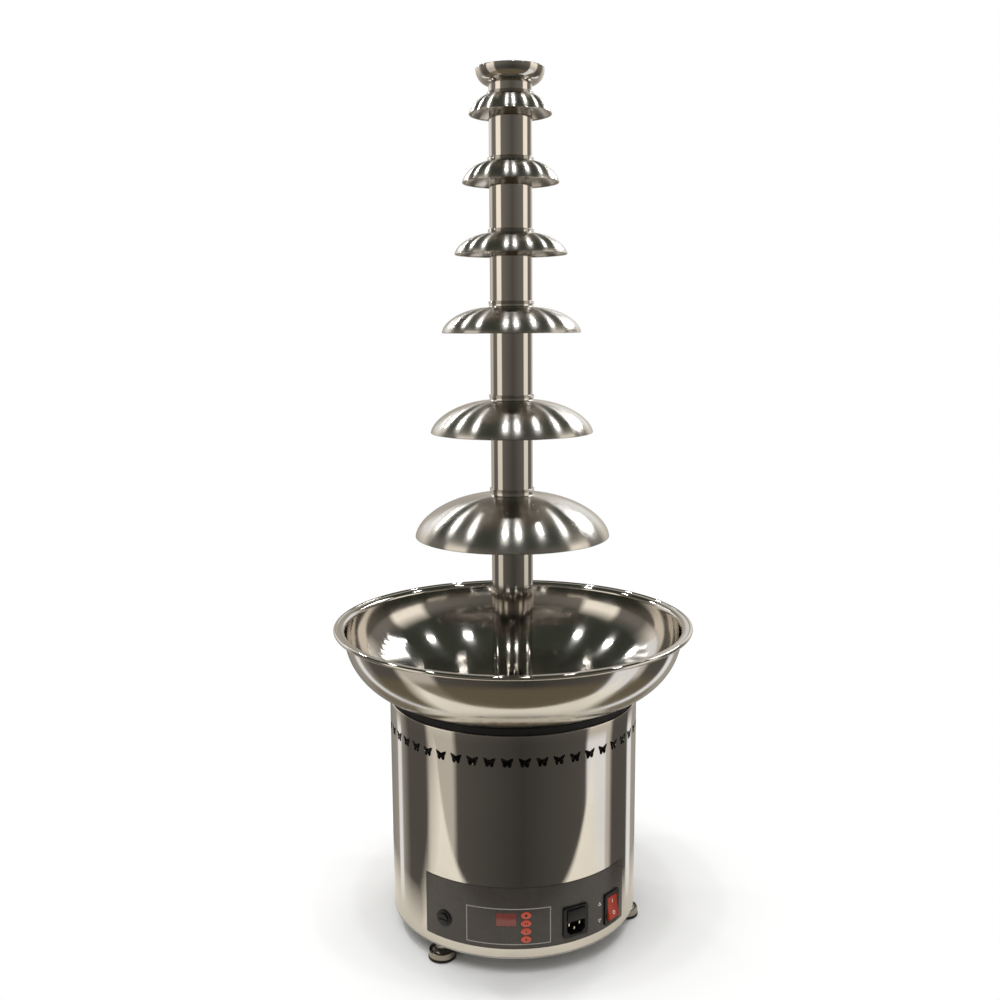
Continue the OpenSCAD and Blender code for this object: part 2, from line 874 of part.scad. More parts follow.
module gearbox() {
    color([0.58, 0.59, 0.61])
        difference() {
            translate([0, 0, gearbox_z])
                cylinder(d = gearbox_d, h = gearbox_h);
            translate([0, 0, gearbox_bore_z])
                cylinder(r = shaft_r + running_fit, h = gearbox_h);
            around(motor_screw_count, 0)
                translate([0, -motor_screw_circle_r, deck_z - deck_t - motor_screw_l])
                    cylinder(r = motor_screw_r, h = motor_screw_l + eps);
        }
}

module motor_screws() {
    color(plain_steel)
        around(motor_screw_count, 0)
            translate([0, -motor_screw_circle_r, deck_z]) {
                cylinder(r = motor_screw_head_r, h = motor_screw_head_h);
                translate([0, 0, -motor_screw_l])
                    cylinder(r = motor_screw_r, h = motor_screw_l);
            }
}

// Flanged bushing through the basin floor with its nut below
module seal_housing() {
    color([0.74, 0.75, 0.76]) {
        rotate_extrude()
            polygon([
                [bush_r, housing_z], [hub_r, housing_z], [hub_r, floor_top_z],
                [housing_flange_r, floor_top_z],
                [housing_flange_r - housing_flange_edge, floor_top_z + housing_flange_h],
                [seal_r, floor_top_z + housing_flange_h], [seal_r, seal_z], [bush_r, seal_z]
            ]);
        translate([0, 0, basin_floor_z - seal_nut_h])
            hex_nut(seal_nut_af, hub_r, seal_nut_h);
    }
}

module shaft_bush() {
    color([0.72, 0.53, 0.26])
        translate([0, 0, housing_z])
            ring(shaft_r + running_fit, bush_r, seal_z - housing_z);
}

module lip_seal() {
    color(black_rubber)
        translate([0, 0, seal_z])
            ring(shaft_r + running_fit, seal_r, seal_top_z - seal_z);
}

module output_shaft() {
    color(plain_steel)
        translate([0, 0, output_z])
            cylinder(r = shaft_r, h = coupling_mid_z - shaft_end_gap - output_z);
}

module drive_coupling() {
    color([0.70, 0.71, 0.73])
        translate([0, 0, coupling_z])
            ring(shaft_r, coupling_r, coupling_top_z - coupling_z);
}

module drive_shaft() {
    color(plain_steel) {
        union() {
            translate([0, 0, coupling_mid_z + shaft_end_gap])
                cylinder(r = shaft_r, h = auger_z - coupling_mid_z - shaft_end_gap);
            translate([0, 0, auger_z - eps])
                cylinder(r = corner_r(hex_af), h = hex_top_z - auger_z + eps, $fn = 6);
        }
    }
}

module auger_shaft() {
    color(plain_steel)
        difference() {
            union() {
                translate([0, 0, auger_z])
                    cylinder(r = auger_shaft_r, h = auger_top_z - auger_z - auger_shaft_r / 2);
                translate([0, 0, auger_top_z - auger_shaft_r / 2])
                    cylinder(r1 = auger_shaft_r, r2 = auger_shaft_r / 3, h = auger_shaft_r / 2);
            }
            translate([0, 0, auger_z - eps])
                cylinder(r = corner_r(hex_af + 2 * hex_fit), h = hex_socket_h + eps, $fn = 6);
        }
}

// Helical flight, one section of four points every step
module auger_flight() {
    r_in = (auger_shaft_r + weld_gap) / cos(180 / flight_steps);
    points = [
        for (i = [0:flight_count])
            let (a = i * 360 / flight_steps, z = flight_z + i * auger_pitch / flight_steps)
            for (p = [[r_in, 0], [auger_r, 0], [auger_r, flight_t], [r_in, flight_t]])
                [p[0] * cos(a), p[0] * sin(a), z + p[1]]
    ];
    sides = [
        for (i = [0:flight_count - 1], j = [0:3])
            let (a = 4 * i + j, b = 4 * i + (j + 1) % 4)
            for (f = [[a, b + 4, b], [a, a + 4, b + 4]])
                f
    ];
    last = 4 * flight_count;
    ends = [[0, 1, 2], [0, 2, 3], [last, last + 2, last + 1], [last, last + 3, last + 2]];
    color(plain_steel)
        polyhedron(points = points, faces = concat(sides, ends));
}

// Plain tube of one tier, from the joint below to the joint above
module tube(i) {
    foot = tube_foot_z(i);
    color(sheet_steel)
        difference() {
            translate([0, 0, foot])
                ring(tube_ri, tube_r, tube_top_z(i) - foot);
            if (i == 0)
                for (a = [0, 90, 180, 270])
                    radial(a, foot, tube_ri - arch_reach, tube_r + eps)
                        inlet_arch();
        }
}

// Opening at the tower's foot where the chocolate flows in
module inlet_arch() {
    w = inlet_arch_w;
    translate([-w / 2, -eps])
        square([w, inlet_arch_h - w / 2 + eps]);
    translate([0, inlet_arch_h - w / 2])
        circle(w / 2);
}

// Spun dome with a rolled rim, and the ringed collar that joins it to the tubes
module dome(i) {
    rim_r = dome_ds[i] / 2;
    rim_z = dome_zs[i];
    rise = dome_rises[i];
    top = shoulder_z(i);
    collar_top = top + dome_collars[i];
    pitch = min(collar_pitch, dome_collars[i] - 2 * collar_bead);
    skirt_w = rim_r - shoulder_r;
    outside = bulge(shoulder_r, rim_z, skirt_w, rise, dome_powers[i], 0, 90);
    inside = bulge(shoulder_r, rim_z, skirt_w - dome_t, rise - dome_t, dome_powers[i], 90, 0);
    fillet = arc(shoulder_r, top + collar_fillet, collar_fillet, collar_fillet, -90, -180);
    color(basin_steel)
        rotate_extrude() {
            polygon(concat(
                outside, fillet,
                [[collar_r, collar_top], [socket_r, collar_top]],
                [[socket_r, tube_top_z(i)], [tube_r, tube_top_z(i)]],
                [[tube_r, top - sleeve_h], [collar_r, top - sleeve_h], [collar_r, top - dome_t]],
                inside
            ));
            for (drop = [0, pitch])
                translate([collar_r, collar_top - collar_bead - drop])
                    circle(collar_bead);
            translate([rim_r - rim_bead, rim_z + rim_bead])
                circle(rim_bead);
        }
}

// Open cup on a short tube that plugs into the topmost collar
module crown() {
    flare = crown_r - tube_r;
    outside = bulge(tube_r, crown_z, flare, crown_h, crown_power, -90, 0);
    inside = bulge(tube_r, crown_z, flare - dome_t, crown_h - dome_t, crown_power, 0, -90);
    color(basin_steel)
        rotate_extrude()
            polygon(concat(
                [[tube_ri, crown_foot_z], [tube_r, crown_foot_z]],
                outside, inside,
                [[tube_ri, crown_cup_z + dome_t]]
            ));
}

module control_panel() {
    color(panel_grey)
        difference() {
            translate([0, 0, panel_z])
                ring_sector(panel_ri, panel_ro, panel_half, panel_top_z - panel_z);
            radial(display_angle, display_z, panel_ri - panel_reach, panel_ro + eps)
                square([display_w, display_h], center = true);
            for (i = [0:3])
                radial(button_angle, button_z + i * button_step, panel_ri - panel_reach, panel_ro + eps)
                    lens(button_fit);
            radial(inlet_angle, inlet_z, panel_ri - panel_reach, panel_ro + eps)
                square([inlet_body_w + 2 * cutout_fit, inlet_body_h + 2 * cutout_fit], center = true);
            radial(switch_angle, switch_z, panel_ri - panel_reach, panel_ro + eps)
                square([switch_body_w + 2 * cutout_fit, switch_body_h + 2 * cutout_fit], center = true);
            radial(fuse_angle, fuse_z, panel_ri - panel_reach, panel_ro + eps)
                circle(fuse_body_r + cutout_fit);
        }
}

module display_window() {
    color([0.45, 0.16, 0.13, 0.8])
        intersection() {
            translate([0, 0, panel_z])
                ring(panel_ri, panel_ro - window_sink, panel_top_z - panel_z);
            radial(display_angle, display_z, panel_ri - panel_reach, panel_ro + eps)
                square([display_w, display_h], center = true);
        }
}

// Flat board behind the panel, with its key switches and the posts that carry it
module control_board() {
    key_r = panel_ri - button_stop_gap - button_flange_t - key_switch_gap - button_travel;
    post_x = board_w / 2 - board_post_in;
    post_z = board_h / 2 - board_post_in;
    color([0.10, 0.33, 0.20])
        union() {
            radial(board_angle, board_z, board_r, board_r + board_t)
                square([board_w, board_h], center = true);
            for (i = [0:3])
                radial(button_angle, button_z + i * button_step, board_r + board_t / 2, key_r)
                    square(key_switch_s, center = true);
            intersection() {
                ring(board_r - board_w, panel_ri, panel_top_z);
                for (sx = [-1, 1], sz = [-1, 1])
                    radial(board_angle, board_z, board_r + board_t / 2, panel_ro)
                        translate([sx * post_x, sz * post_z])
                            circle(board_post_r);
            }
        }
}

module display_module() {
    offset_x = panel_ri * sin(display_angle - board_angle);
    front_r = sqrt(panel_ri * panel_ri - pow(abs(offset_x) + display_w / 2, 2)) - display_gap;
    color([0.13, 0.13, 0.14])
        radial(board_angle, display_z, board_r + board_t, front_r)
            translate([offset_x, 0])
                square([display_w - 2 * display_rim, display_h - 2 * display_rim], center = true);
}

// One key: lens-shaped head through the panel, wider flange behind it
module button(i) {
    flange_r = panel_ri - button_stop_gap;
    color(key_red)
        union() {
            radial(button_angle, button_z + i * button_step, flange_r - eps, button_face_r)
                lens(0);
            radial(button_angle, button_z + i * button_step, flange_r - button_flange_t, flange_r)
                intersection() {
                    lens(button_flange);
                    square([2 * button_w, button_step - button_fit], center = true);
                }
        }
}

// Cavity outline of the mains inlet: two lower corners cut off
module inlet_cavity() {
    w = cavity_w / 2;
    c = cavity_chamfer;
    polygon([
        [-w + c, cavity_z], [w - c, cavity_z], [w, cavity_z + c], [w, cavity_z + cavity_h],
        [-w, cavity_z + cavity_h], [-w, cavity_z + c]
    ]);
}

// Blades of the mains inlet: line and neutral above, earth below
module blade_outlines() {
    for (s = [-1, 1])
        translate([s * blade_gap / 2, line_blade_z])
            square([blade_t, blade_h], center = true);
    translate([0, earth_blade_z])
        square([blade_t, blade_h], center = true);
}

module inlet_housing() {
    slot_mid = drawer_slot_z + drawer_slot_h / 2;
    color(black_plastic)
        difference() {
            union() {
                difference() {
                    radial(inlet_angle, inlet_z, panel_ri - panel_reach, inlet_face_r)
                        round_rect(inlet_w, inlet_h, inlet_corner_r);
                    cylinder(r = panel_ro, h = panel_top_z);
                }
                radial(inlet_angle, inlet_z, inlet_back_r, panel_ro + inlet_out / 2)
                    square([inlet_body_w, inlet_body_h], center = true);
            }
            radial(inlet_angle, inlet_z, inlet_face_r - cavity_depth, inlet_face_r + eps)
                inlet_cavity();
            radial(inlet_angle, inlet_z, inlet_face_r - drawer_depth - drawer_end_gap, inlet_face_r + eps)
                translate([0, slot_mid])
                    square([drawer_slot_w, drawer_slot_h], center = true);
            radial(inlet_angle, inlet_z, inlet_back_r - eps, inlet_face_r - cavity_depth + eps)
                blade_outlines();
        }
}

module inlet_pins() {
    color([0.80, 0.76, 0.62])
        radial(inlet_angle, inlet_z, inlet_back_r - tab_l, inlet_face_r - cavity_depth + blade_l)
            blade_outlines();
}

module fuse_drawer() {
    slot_mid = drawer_slot_z + drawer_slot_h / 2;
    drawer_back_r = inlet_face_r - drawer_depth;
    w = drawer_slot_w - 2 * drawer_fit;
    h = drawer_slot_h - 2 * drawer_fit;
    color(black_plastic)
        difference() {
            union() {
                radial(inlet_angle, inlet_z, drawer_back_r, inlet_face_r + eps)
                    translate([0, slot_mid])
                        square([w, h], center = true);
                radial(inlet_angle, inlet_z, inlet_face_r + drawer_fit, inlet_face_r + drawer_face_t)
                    translate([0, slot_mid])
                        square([w + 2 * drawer_lip, h + drawer_lip], center = true);
            }
            rotate([0, 0, inlet_angle])
                translate([0, -drawer_back_r - fuse_tube_d, inlet_z + slot_mid])
                    rotate([0, 90, 0])
                        cylinder(d = fuse_tube_d, h = fuse_tube_l, center = true);
            radial(inlet_angle, inlet_z, drawer_back_r + fuse_tube_d, inlet_face_r - drawer_front_t)
                translate([0, slot_mid])
                    square([w - 2 * drawer_side_t, h + 2 * eps], center = true);
        }
}

// Rocker's turning axis, as a line along x
module at_pivot() {
    rotate([0, 0, switch_angle])
        translate([0, -pivot_r, switch_z])
            children();
}

// Round bar along the rocker's turning axis
module pivot_bar(r, l) {
    rotate([0, 90, 0])
        cylinder(r = r, h = l, center = true);
}

module switch_frame() {
    color(black_plastic)
        difference() {
            union() {
                difference() {
                    radial(switch_angle, switch_z, panel_ri - panel_reach, switch_face_r)
                        round_rect(switch_w, switch_h, switch_corner_r);
                    cylinder(r = panel_ro, h = panel_top_z);
                }
                radial(switch_angle, switch_z, switch_back_r, panel_ro + switch_out / 2)
                    square([switch_body_w, switch_body_h], center = true);
            }
            radial(switch_angle, switch_z, switch_back_r + switch_back_t, switch_face_r + eps)
                square([switch_opening_w, switch_opening_h], center = true);
            at_pivot()
                pivot_bar(trunnion_r + trunnion_fit, rocker_w + 2 * (trunnion_l + rocker_fit));
        }
}

module switch_rocker() {
    color(key_red)
        at_pivot()
            rotate([-rocker_tilt, 0, 0])
                union() {
                    rotate([90, 0, 90])
                        linear_extrude(height = rocker_w, center = true)
                            intersection() {
                                circle(rocker_r);
                                polygon([
                                    [rocker_back, -rocker_r], [rocker_back, rocker_r],
                                    [-rocker_tip, rocker_r], [-rocker_valley, 0], [-rocker_tip, -rocker_r]
                                ]);
                            }
                    pivot_bar(trunnion_r, rocker_w + 2 * trunnion_l);
                }
}

module fuse_holder() {
    color(black_plastic)
        difference() {
            union() {
                difference() {
                    radial(fuse_angle, fuse_z, panel_ri - panel_reach, fuse_face_r)
                        circle(fuse_r);
                    cylinder(r = panel_ro, h = panel_top_z);
                }
                radial(fuse_angle, fuse_z, panel_ro - fuse_depth, panel_ro + fuse_out / 2)
                    circle(fuse_body_r);
            }
            radial(fuse_angle, fuse_z, panel_ro - fuse_depth + fuse_end_t, fuse_face_r + eps)
                circle(fuse_bore_r + running_fit);
        }
}

// Fuse carrier with a coin slot, turned to release it
module fuse_cap() {
    cap_face_r = fuse_face_r + fuse_cap_gap + fuse_cap_out;
    color(black_plastic)
        difference() {
            union() {
                radial(fuse_angle, fuse_z, fuse_face_r + fuse_cap_gap, cap_face_r)
                    circle(fuse_cap_r);
                radial(fuse_angle, fuse_z, fuse_face_r - fuse_cap_l, cap_face_r - eps)
                    circle(fuse_bore_r);
            }
            radial(fuse_angle, fuse_z, cap_face_r - coin_slot_d, cap_face_r + eps)
                square([fuse_cap_d + 2 * eps, coin_slot_w], center = true);
        }
}

// Place of one foot, counted from 1
module at_foot(i) {
    rotate([0, 0, foot_angle + (i - 1) * 360 / foot_count])
        translate([0, -foot_circle_r, 0])
            children();
}

module foot_nuts() {
    color(plain_steel)
        for (i = [1:foot_count])
            at_foot(i)
                translate([0, 0, shell_z])
                    hex_nut(stud_af, stud_r + stud_fit, foot_nut_h);
}

module foot_sole(i) {
    color(black_rubber)
        at_foot(i)
            cylinder(r = foot_r, h = sole_t);
}

module foot_pad(i) {
    color(sheet_steel)
        at_foot(i)
            difference() {
                rotate_extrude()
                    polygon(concat(
                        [[0, sole_t], [pad_r, sole_t]],
                        arc(pad_r - pad_round, sole_t + pad_edge_h, pad_round, pad_round, 0, pad_slope),
                        [[pad_neck_r, pad_top_z], [0, pad_top_z]]
                    ));
                translate([0, 0, stud_z - hex_gap])
                    cylinder(r = stud_r + stud_fit, h = pad_h);
            }
}

module foot_stud(i) {
    color(plain_steel)
        at_foot(i)
            union() {
                translate([0, 0, stud_z])
                    cylinder(r = stud_r, h = stud_top_z - stud_z);
                translate([0, 0, stud_hex_z])
                    cylinder(r = corner_r(stud_af), h = stud_hex_h, $fn = 6);
            }
}

bottom_plate();
bottom_screws();
wall_brackets();
housing_shell();
support_deck();
top_gasket();
basin();
basin_posts();
heater_ring();
insulation_disc();
thermostat();
motor_can();
gearbox();
motor_screws();
seal_housing();
shaft_bush();
lip_seal();
output_shaft();
drive_coupling();
drive_shaft();
auger_shaft();
auger_flight();
tube(0);  // tube_1
tube(1);  // tube_2
tube(2);  // tube_3
tube(3);  // tube_4
tube(4);  // tube_5
tube(5);  // tube_6
dome(0);  // dome_1
dome(1);  // dome_2
dome(2);  // dome_3
dome(3);  // dome_4
dome(4);  // dome_5
dome(5);  // dome_6
crown();
control_panel();
display_window();
display_module();
control_board();
button(0);  // button_1
button(1);  // button_2
button(2);  // button_3
button(3);  // button_4
inlet_housing();
inlet_pins();
fuse_drawer();
switch_frame();
switch_rocker();
fuse_holder();
fuse_cap();
foot_nuts();
foot_sole(1);  // foot_sole_1
foot_sole(2);  // foot_sole_2
foot_sole(3);  // foot_sole_3
foot_pad(1);  // foot_pad_1
foot_pad(2);  // foot_pad_2
foot_pad(3);  // foot_pad_3
foot_stud(1);  // foot_stud_1
foot_stud(2);  // foot_stud_2
foot_stud(3);  // foot_stud_3
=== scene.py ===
import json
import math

import bpy
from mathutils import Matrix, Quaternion, Vector

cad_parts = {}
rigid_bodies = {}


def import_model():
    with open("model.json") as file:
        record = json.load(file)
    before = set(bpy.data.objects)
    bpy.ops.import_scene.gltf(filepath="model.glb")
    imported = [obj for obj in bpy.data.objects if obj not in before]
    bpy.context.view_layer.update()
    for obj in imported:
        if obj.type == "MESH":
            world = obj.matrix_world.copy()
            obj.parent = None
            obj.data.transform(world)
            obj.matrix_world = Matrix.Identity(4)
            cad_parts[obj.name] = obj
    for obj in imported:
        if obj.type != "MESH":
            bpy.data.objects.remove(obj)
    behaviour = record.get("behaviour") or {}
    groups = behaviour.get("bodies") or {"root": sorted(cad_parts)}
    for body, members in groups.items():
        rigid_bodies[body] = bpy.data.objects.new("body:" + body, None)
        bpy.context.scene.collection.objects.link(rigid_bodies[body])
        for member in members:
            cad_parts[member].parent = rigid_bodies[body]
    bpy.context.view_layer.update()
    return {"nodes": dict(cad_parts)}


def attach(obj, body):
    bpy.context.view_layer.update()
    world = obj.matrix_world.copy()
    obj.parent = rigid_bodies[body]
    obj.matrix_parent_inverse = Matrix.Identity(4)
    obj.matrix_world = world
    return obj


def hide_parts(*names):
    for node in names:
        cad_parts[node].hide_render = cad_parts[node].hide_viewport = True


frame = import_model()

MM = 0.001
MERGE = 0.002 * MM

# Sizes in millimetres and angles in degrees; the main ones are the same in the part's source

# Housing
BODY_R = 152.8
SHELL_T = 1.2
SHELL_Z = 22.0
SHELL_TOP_Z = 289.0
SHELL_LIP = 13.0
SHELL_EDGE_R = 1.4
SHELL_ROWS = (160.0, 215.0, 248.0, 268.0)
VENT_COUNT = 48
VENT_Z = 257.9
VENT_W = 14.5
VENT_H = 11.4
VENT_ANGLE = -10.55
WINDOW_HALF = 46.06
WINDOW_Z = (36.5, 104.5)
SEAL_INSET = 1.5
SEAL_GAP = 0.35
SEAL_FOOT = (0.6, 0.8)
SEAL_HEAD = (0.8, 1.0)
SEAL_STEPS = 12

# Basin
BASIN_R = 219.5
BASIN_RIM_Z = 380.0
BASIN_WALL_R = 207.0
BASIN_CURVE_Z = 373.5
BASIN_FLOOR_Z = 293.5
BASIN_FLOOR_R = 122.0
BASIN_T = 1.2
BASIN_BEAD = 2.5
BASIN_TOP_Z = BASIN_FLOOR_Z + BASIN_T
LIP_Z = 379.0
LIP_TURN_R = 4.2
HUB_R = 16.0
FLOOR_RINGS = (90.0, 50.0, HUB_R)
PIN_ANGLES = (45, 165, 285)
PIN_R = 3.0
PIN_H = 12.0
PIN_ROUND = 1.2
PIN_SINK = 0.6
PIN_CORE = 0.02

# Tower
TUBE_R = 25.0
TUBE_T = 1.5
TUBE_EDGE = 0.25
TUBE_ROWS = 6
ARCH_ANGLES = (0, 90, 180, 270)
ARCH_R = 9.0
ARCH_Z = 21.0
ARCH_SINK = 1.0
SOCKET_R = 25.15
COLLAR_R = 26.15
COLLAR_BEAD = 0.8
COLLAR_PITCH = 1.9
COLLAR_FILLET = 1.5
SHOULDER_R = COLLAR_R + COLLAR_FILLET
SLEEVE_H = 16.0
JOINT_H = 6.0
DOME_T = 1.2
DOME_LAP = 0.4
RIM_BEAD = 0.9
SHEET_LOW = 1.2 * RIM_BEAD
# Rim radius, rim height, rise, collar height and fullness of each dome, from the lowest up
DOMES = [
    (117.7, 487.5, 50.7, 8.0, 1.75),
    (97.3, 613.5, 38.5, 6.9, 1.70),
    (82.4, 731.5, 30.0, 7.0, 1.78),
    (66.2, 822.0, 24.0, 5.0, 1.71),
    (56.5, 903.0, 23.6, 5.0, 1.65),
    (48.0, 979.0, 21.0, 3.5, 1.45),
]
CROWN_R = 39.8
CROWN_Z = 1030.0
CROWN_H = 18.0
CROWN_POWER = 2.0
CROWN_LIP = 0.6
AUGER_R = 22.2
AUGER_SHAFT_R = 8.0
AUGER_PITCH = 45.0
FLIGHT_T = 2.0
FLIGHT_Z = 301.7
FLIGHT_TURNS = 15.6
FLIGHT_GAP = 0.1

# Control panel: angles are counted from its middle
PANEL_RI = 152.8
PANEL_RO = 153.8
PANEL_HALF = 50.0
PANEL_Z = (33.0, 108.0)
DISPLAY = (-11.3, 69.3, 23.3, 16.3)
DISPLAY_SINK = 0.2
KEY_COUNT = 4
KEY_ANGLE = -2.75
KEY_Z = 45.2
KEY_STEP = 9.85
KEY_W = 12.8
KEY_H = 8.6
KEY_GAP = 0.25
KEY_FACE_R = 154.8
KEY_ROOT_R = PANEL_RI - 1.0
SKIRT_GROW = 0.5
SKIRT_R = (PANEL_RI - 1.7, PANEL_RI - 0.6)
INLET = (19.5, 59.15)
INLET_HOLE = (27.6, 34.5)
SWITCH = (40.6, 57.0)
SWITCH_HOLE = (22.6, 34.6)
FUSE = (-39.75, 59.0)
FUSE_HOLE_R = 6.7
ROCKER_PIVOT_R = 150.8
ROCKER_TILT = 10.0
ROCKER_SLOPE = 7.22
ROCKER_FACE = 6.49
ROCKER_MARK_Z = 7.0

# Print, a little sunk into the face that carries it
PRINT_SINK = 0.05
PRINT_RISE = 0.06
FRAME_ANGLES = (-28.9, 8.05)
FRAME_Z = (38.5, 83.0)
FRAME_LINE = 1.0
ARROW_ANGLE = 33.0
ARROWS = ((68.0, 1), (47.0, -1))
RING_R = (1.5, 2.3)
BAR = (0.9, 4.6)

# Feet
FOOT_ANGLES = (-45.0, 75.0, 195.0)
FOOT_CIRCLE_R = 142.0
FOOT_CORE = 0.05
SOLE_H = 3.0
GROOVE_H = 0.5
RIDGE_COUNT = 4
RIDGE_R = 4.0
RIDGE_STEP = 3.0
STUD_Z = (6.0, 48.0)
STUD_R = 3.9
THREAD_Z = 18.0
THREAD_ROOT_R = 3.4
THREAD_R = 4.0
THREAD_PITCH = 1.25
THREAD_TURNS = 22
NUT_R = 7.5
NUT_H = 5.0
NUT_Z = 14.0

# Small cut on outer corners, and how far a cutter reaches past the wall on both sides
EASE = 0.3
CUT_IN = 6.0
CUT_OUT = 3.0
PANEL_CUT = (PANEL_RI - 4, PANEL_RO + CUT_OUT)


# Outlines


def ellipse(cx, cz, ax, az, start, end, count):
    """Points of an elliptic arc, angles in degrees."""
    angles = [math.radians(start + (end - start) * i / count) for i in range(count + 1)]
    return [(cx + ax * math.cos(a), cz + az * math.sin(a)) for a in angles]


def disc(r, count=24):
    return ellipse(0, 0, r, r, 0, 360 - 360 / count, count - 1)


def bulge(cx, cz, ax, az, power, start, end, count):
    """Points of a quarter curve whose fullness is a power: 2 is an ellipse."""
    angles = [math.radians(start + (end - start) * i / count) for i in range(count + 1)]
    return [
        (cx + ax * max(0.0, math.cos(a)) ** (2 / power), cz + az * max(0.0, math.sin(a)) ** (2 / power))
        for a in angles
    ]


def bulge_start(height, rise, power):
    """Angle at which such a curve has climbed to a height."""
    return math.degrees(math.asin((height / rise) ** (power / 2)))


def rectangle(w, h):
    return [(-w / 2, -h / 2), (w / 2, -h / 2), (w / 2, h / 2), (-w / 2, h / 2)]


def band(x_from, x_to, low, high, ease=0.0):
    """Section of a strip, its outer corners cut where an ease is given."""
    outer = [(x_to, low), (x_to, high)]
    if ease:
        outer = [(x_to - ease, low), (x_to, low + ease), (x_to, high - ease), (x_to - ease, high)]
    return [(x_from, low)] + outer + [(x_from, high)]


def lens(w, h, grow, count):
    """Pointed oval of the keys."""
    arc_r = (w * w + h * h) / (4 * h)
    off = arc_r - h / 2
    r = arc_r + grow
    reach = math.degrees(math.acos(off / r))
    top = ellipse(0, -off, r, r, 90 - reach, 90 + reach, count)
    low = ellipse(0, off, r, r, 270 - reach, 270 + reach, count)
    return top[:-1] + low[:-1]


# Ways of making


def clear_selection():
    if bpy.context.object and bpy.context.object.mode != "OBJECT":
        bpy.ops.object.mode_set(mode="OBJECT")
    bpy.ops.object.select_all(action="DESELECT")


def pick(piece):
    clear_selection()
    piece.select_set(True)
    bpy.context.view_layer.objects.active = piece


def drawn(name, points):
    """Closed outline in the XZ plane, drawn by extruding one point; left in edit mode."""
    clear_selection()
    bpy.ops.mesh.primitive_plane_add(size=MM, location=(0, 0, 0))
    piece = bpy.context.object
    piece.name = name
    bpy.ops.object.mode_set(mode="EDIT")
    bpy.ops.mesh.select_mode(type="VERT")
    bpy.ops.mesh.select_all(action="SELECT")
    bpy.ops.mesh.merge(type="CENTER")
    bpy.ops.transform.translate(value=(points[0][0] * MM, 0, points[0][1] * MM))
    for here, there in zip(points, points[1:] + points[:1]):
        step = ((there[0] - here[0]) * MM, 0, (there[1] - here[1]) * MM)
        bpy.ops.mesh.extrude_region_move(TRANSFORM_OT_translate={"value": step})
    bpy.ops.mesh.select_all(action="SELECT")
    bpy.ops.mesh.remove_doubles(threshold=MERGE)
    return piece


def close_up(piece):
    """Merges, closes open ends, turns faces outwards and leaves edit mode."""
    bpy.ops.mesh.select_all(action="SELECT")
    bpy.ops.mesh.remove_doubles(threshold=MERGE)
    bpy.ops.mesh.fill_holes(sides=0)
    bpy.ops.mesh.select_all(action="SELECT")
    bpy.ops.mesh.normals_make_consistent(inside=False)
    bpy.ops.object.mode_set(mode="OBJECT")
    return piece


def into_mesh(piece):
    """Puts a piece's place and turn into its mesh."""
    pick(piece)
    bpy.ops.object.transform_apply(location=True, rotation=True, scale=True)
    return piece


def swing(piece, angle):
    """Turns a piece about the upright axis."""
    piece.rotation_euler = (0, 0, math.radians(angle))
    return into_mesh(piece)


def placed(piece, place, tip=0.0):
    """Tips a piece about the X axis and moves it."""
    piece.rotation_euler = (math.radians(tip), 0, 0)
    piece.location = [v * MM for v in place]
    return into_mesh(piece)


def turned(name, points, steps):
    """Outline spun all the way round the upright axis."""
    piece = drawn(name, points)
    bpy.ops.mesh.spin(steps=steps, angle=math.tau, center=(0, 0, 0), axis=(0, 0, 1))
    return close_up(piece)


def wound(name, points, turns, pitch, steps):
    """Outline wound up the upright axis, with so many steps to a turn."""
    piece = drawn(name, points)
    bpy.ops.object.mode_set(mode="OBJECT")
    tool = piece.modifiers.new("wind", "SCREW")
    tool.angle = math.tau * turns
    tool.screw_offset = pitch * turns * MM
    tool.steps = int(steps * turns)
    tool.render_steps = tool.steps
    tool.use_merge_vertices = False
    bpy.ops.object.modifier_apply(modifier=tool.name)
    bpy.ops.object.mode_set(mode="EDIT")
    return close_up(piece)


def curved_strip(name, points, middle, half, steps):
    """Outline swept about the upright axis, as far to one side of the middle as to the other."""
    piece = drawn(name, points)
    bpy.ops.mesh.spin(steps=steps, angle=math.radians(2 * half), center=(0, 0, 0), axis=(0, 0, 1))
    close_up(piece)
    return swing(piece, middle + half - 90)


def radial_block(name, points, angle, z, r_from, r_to):
    """Outline in the panel's plane, pushed outwards from one radius to another."""
    piece = drawn(name, [(x, z + h) for x, h in points])
    bpy.ops.mesh.edge_face_add()
    bpy.ops.transform.translate(value=(0, -r_from * MM, 0))
    bpy.ops.mesh.extrude_region_move(TRANSFORM_OT_translate={"value": (0, -(r_to - r_from) * MM, 0)})
    close_up(piece)
    return swing(piece, angle)


def joined(name, parts):
    clear_selection()
    for part in parts:
        part.select_set(True)
    bpy.context.view_layer.objects.active = parts[0]
    bpy.ops.object.join()
    parts[0].name = name
    return parts[0]


def cut(piece, cutter):
    """Takes the cutter's volume out of a piece and deletes the cutter."""
    pick(piece)
    tool = piece.modifiers.new("cut", "BOOLEAN")
    tool.operation = "DIFFERENCE"
    tool.solver = "EXACT"
    tool.object = cutter
    bpy.ops.object.modifier_apply(modifier=tool.name)
    bpy.data.objects.remove(cutter)
    return piece


def soften(piece, width, segments=2, angle=35):
    """Rounds the edges that are sharper than an angle."""
    pick(piece)
    tool = piece.modifiers.new("soften", "BEVEL")
    tool.width = width * MM
    tool.segments = segments
    tool.limit_method = "ANGLE"
    tool.angle_limit = math.radians(angle)
    tool.use_clamp_overlap = True
    tool.harden_normals = False
    bpy.ops.object.modifier_apply(modifier=tool.name)
    return piece


def smooth(piece, angle=32):
    pick(piece)
    bpy.ops.object.shade_smooth_by_angle(angle=math.radians(angle), keep_sharp_edges=False)
    return piece


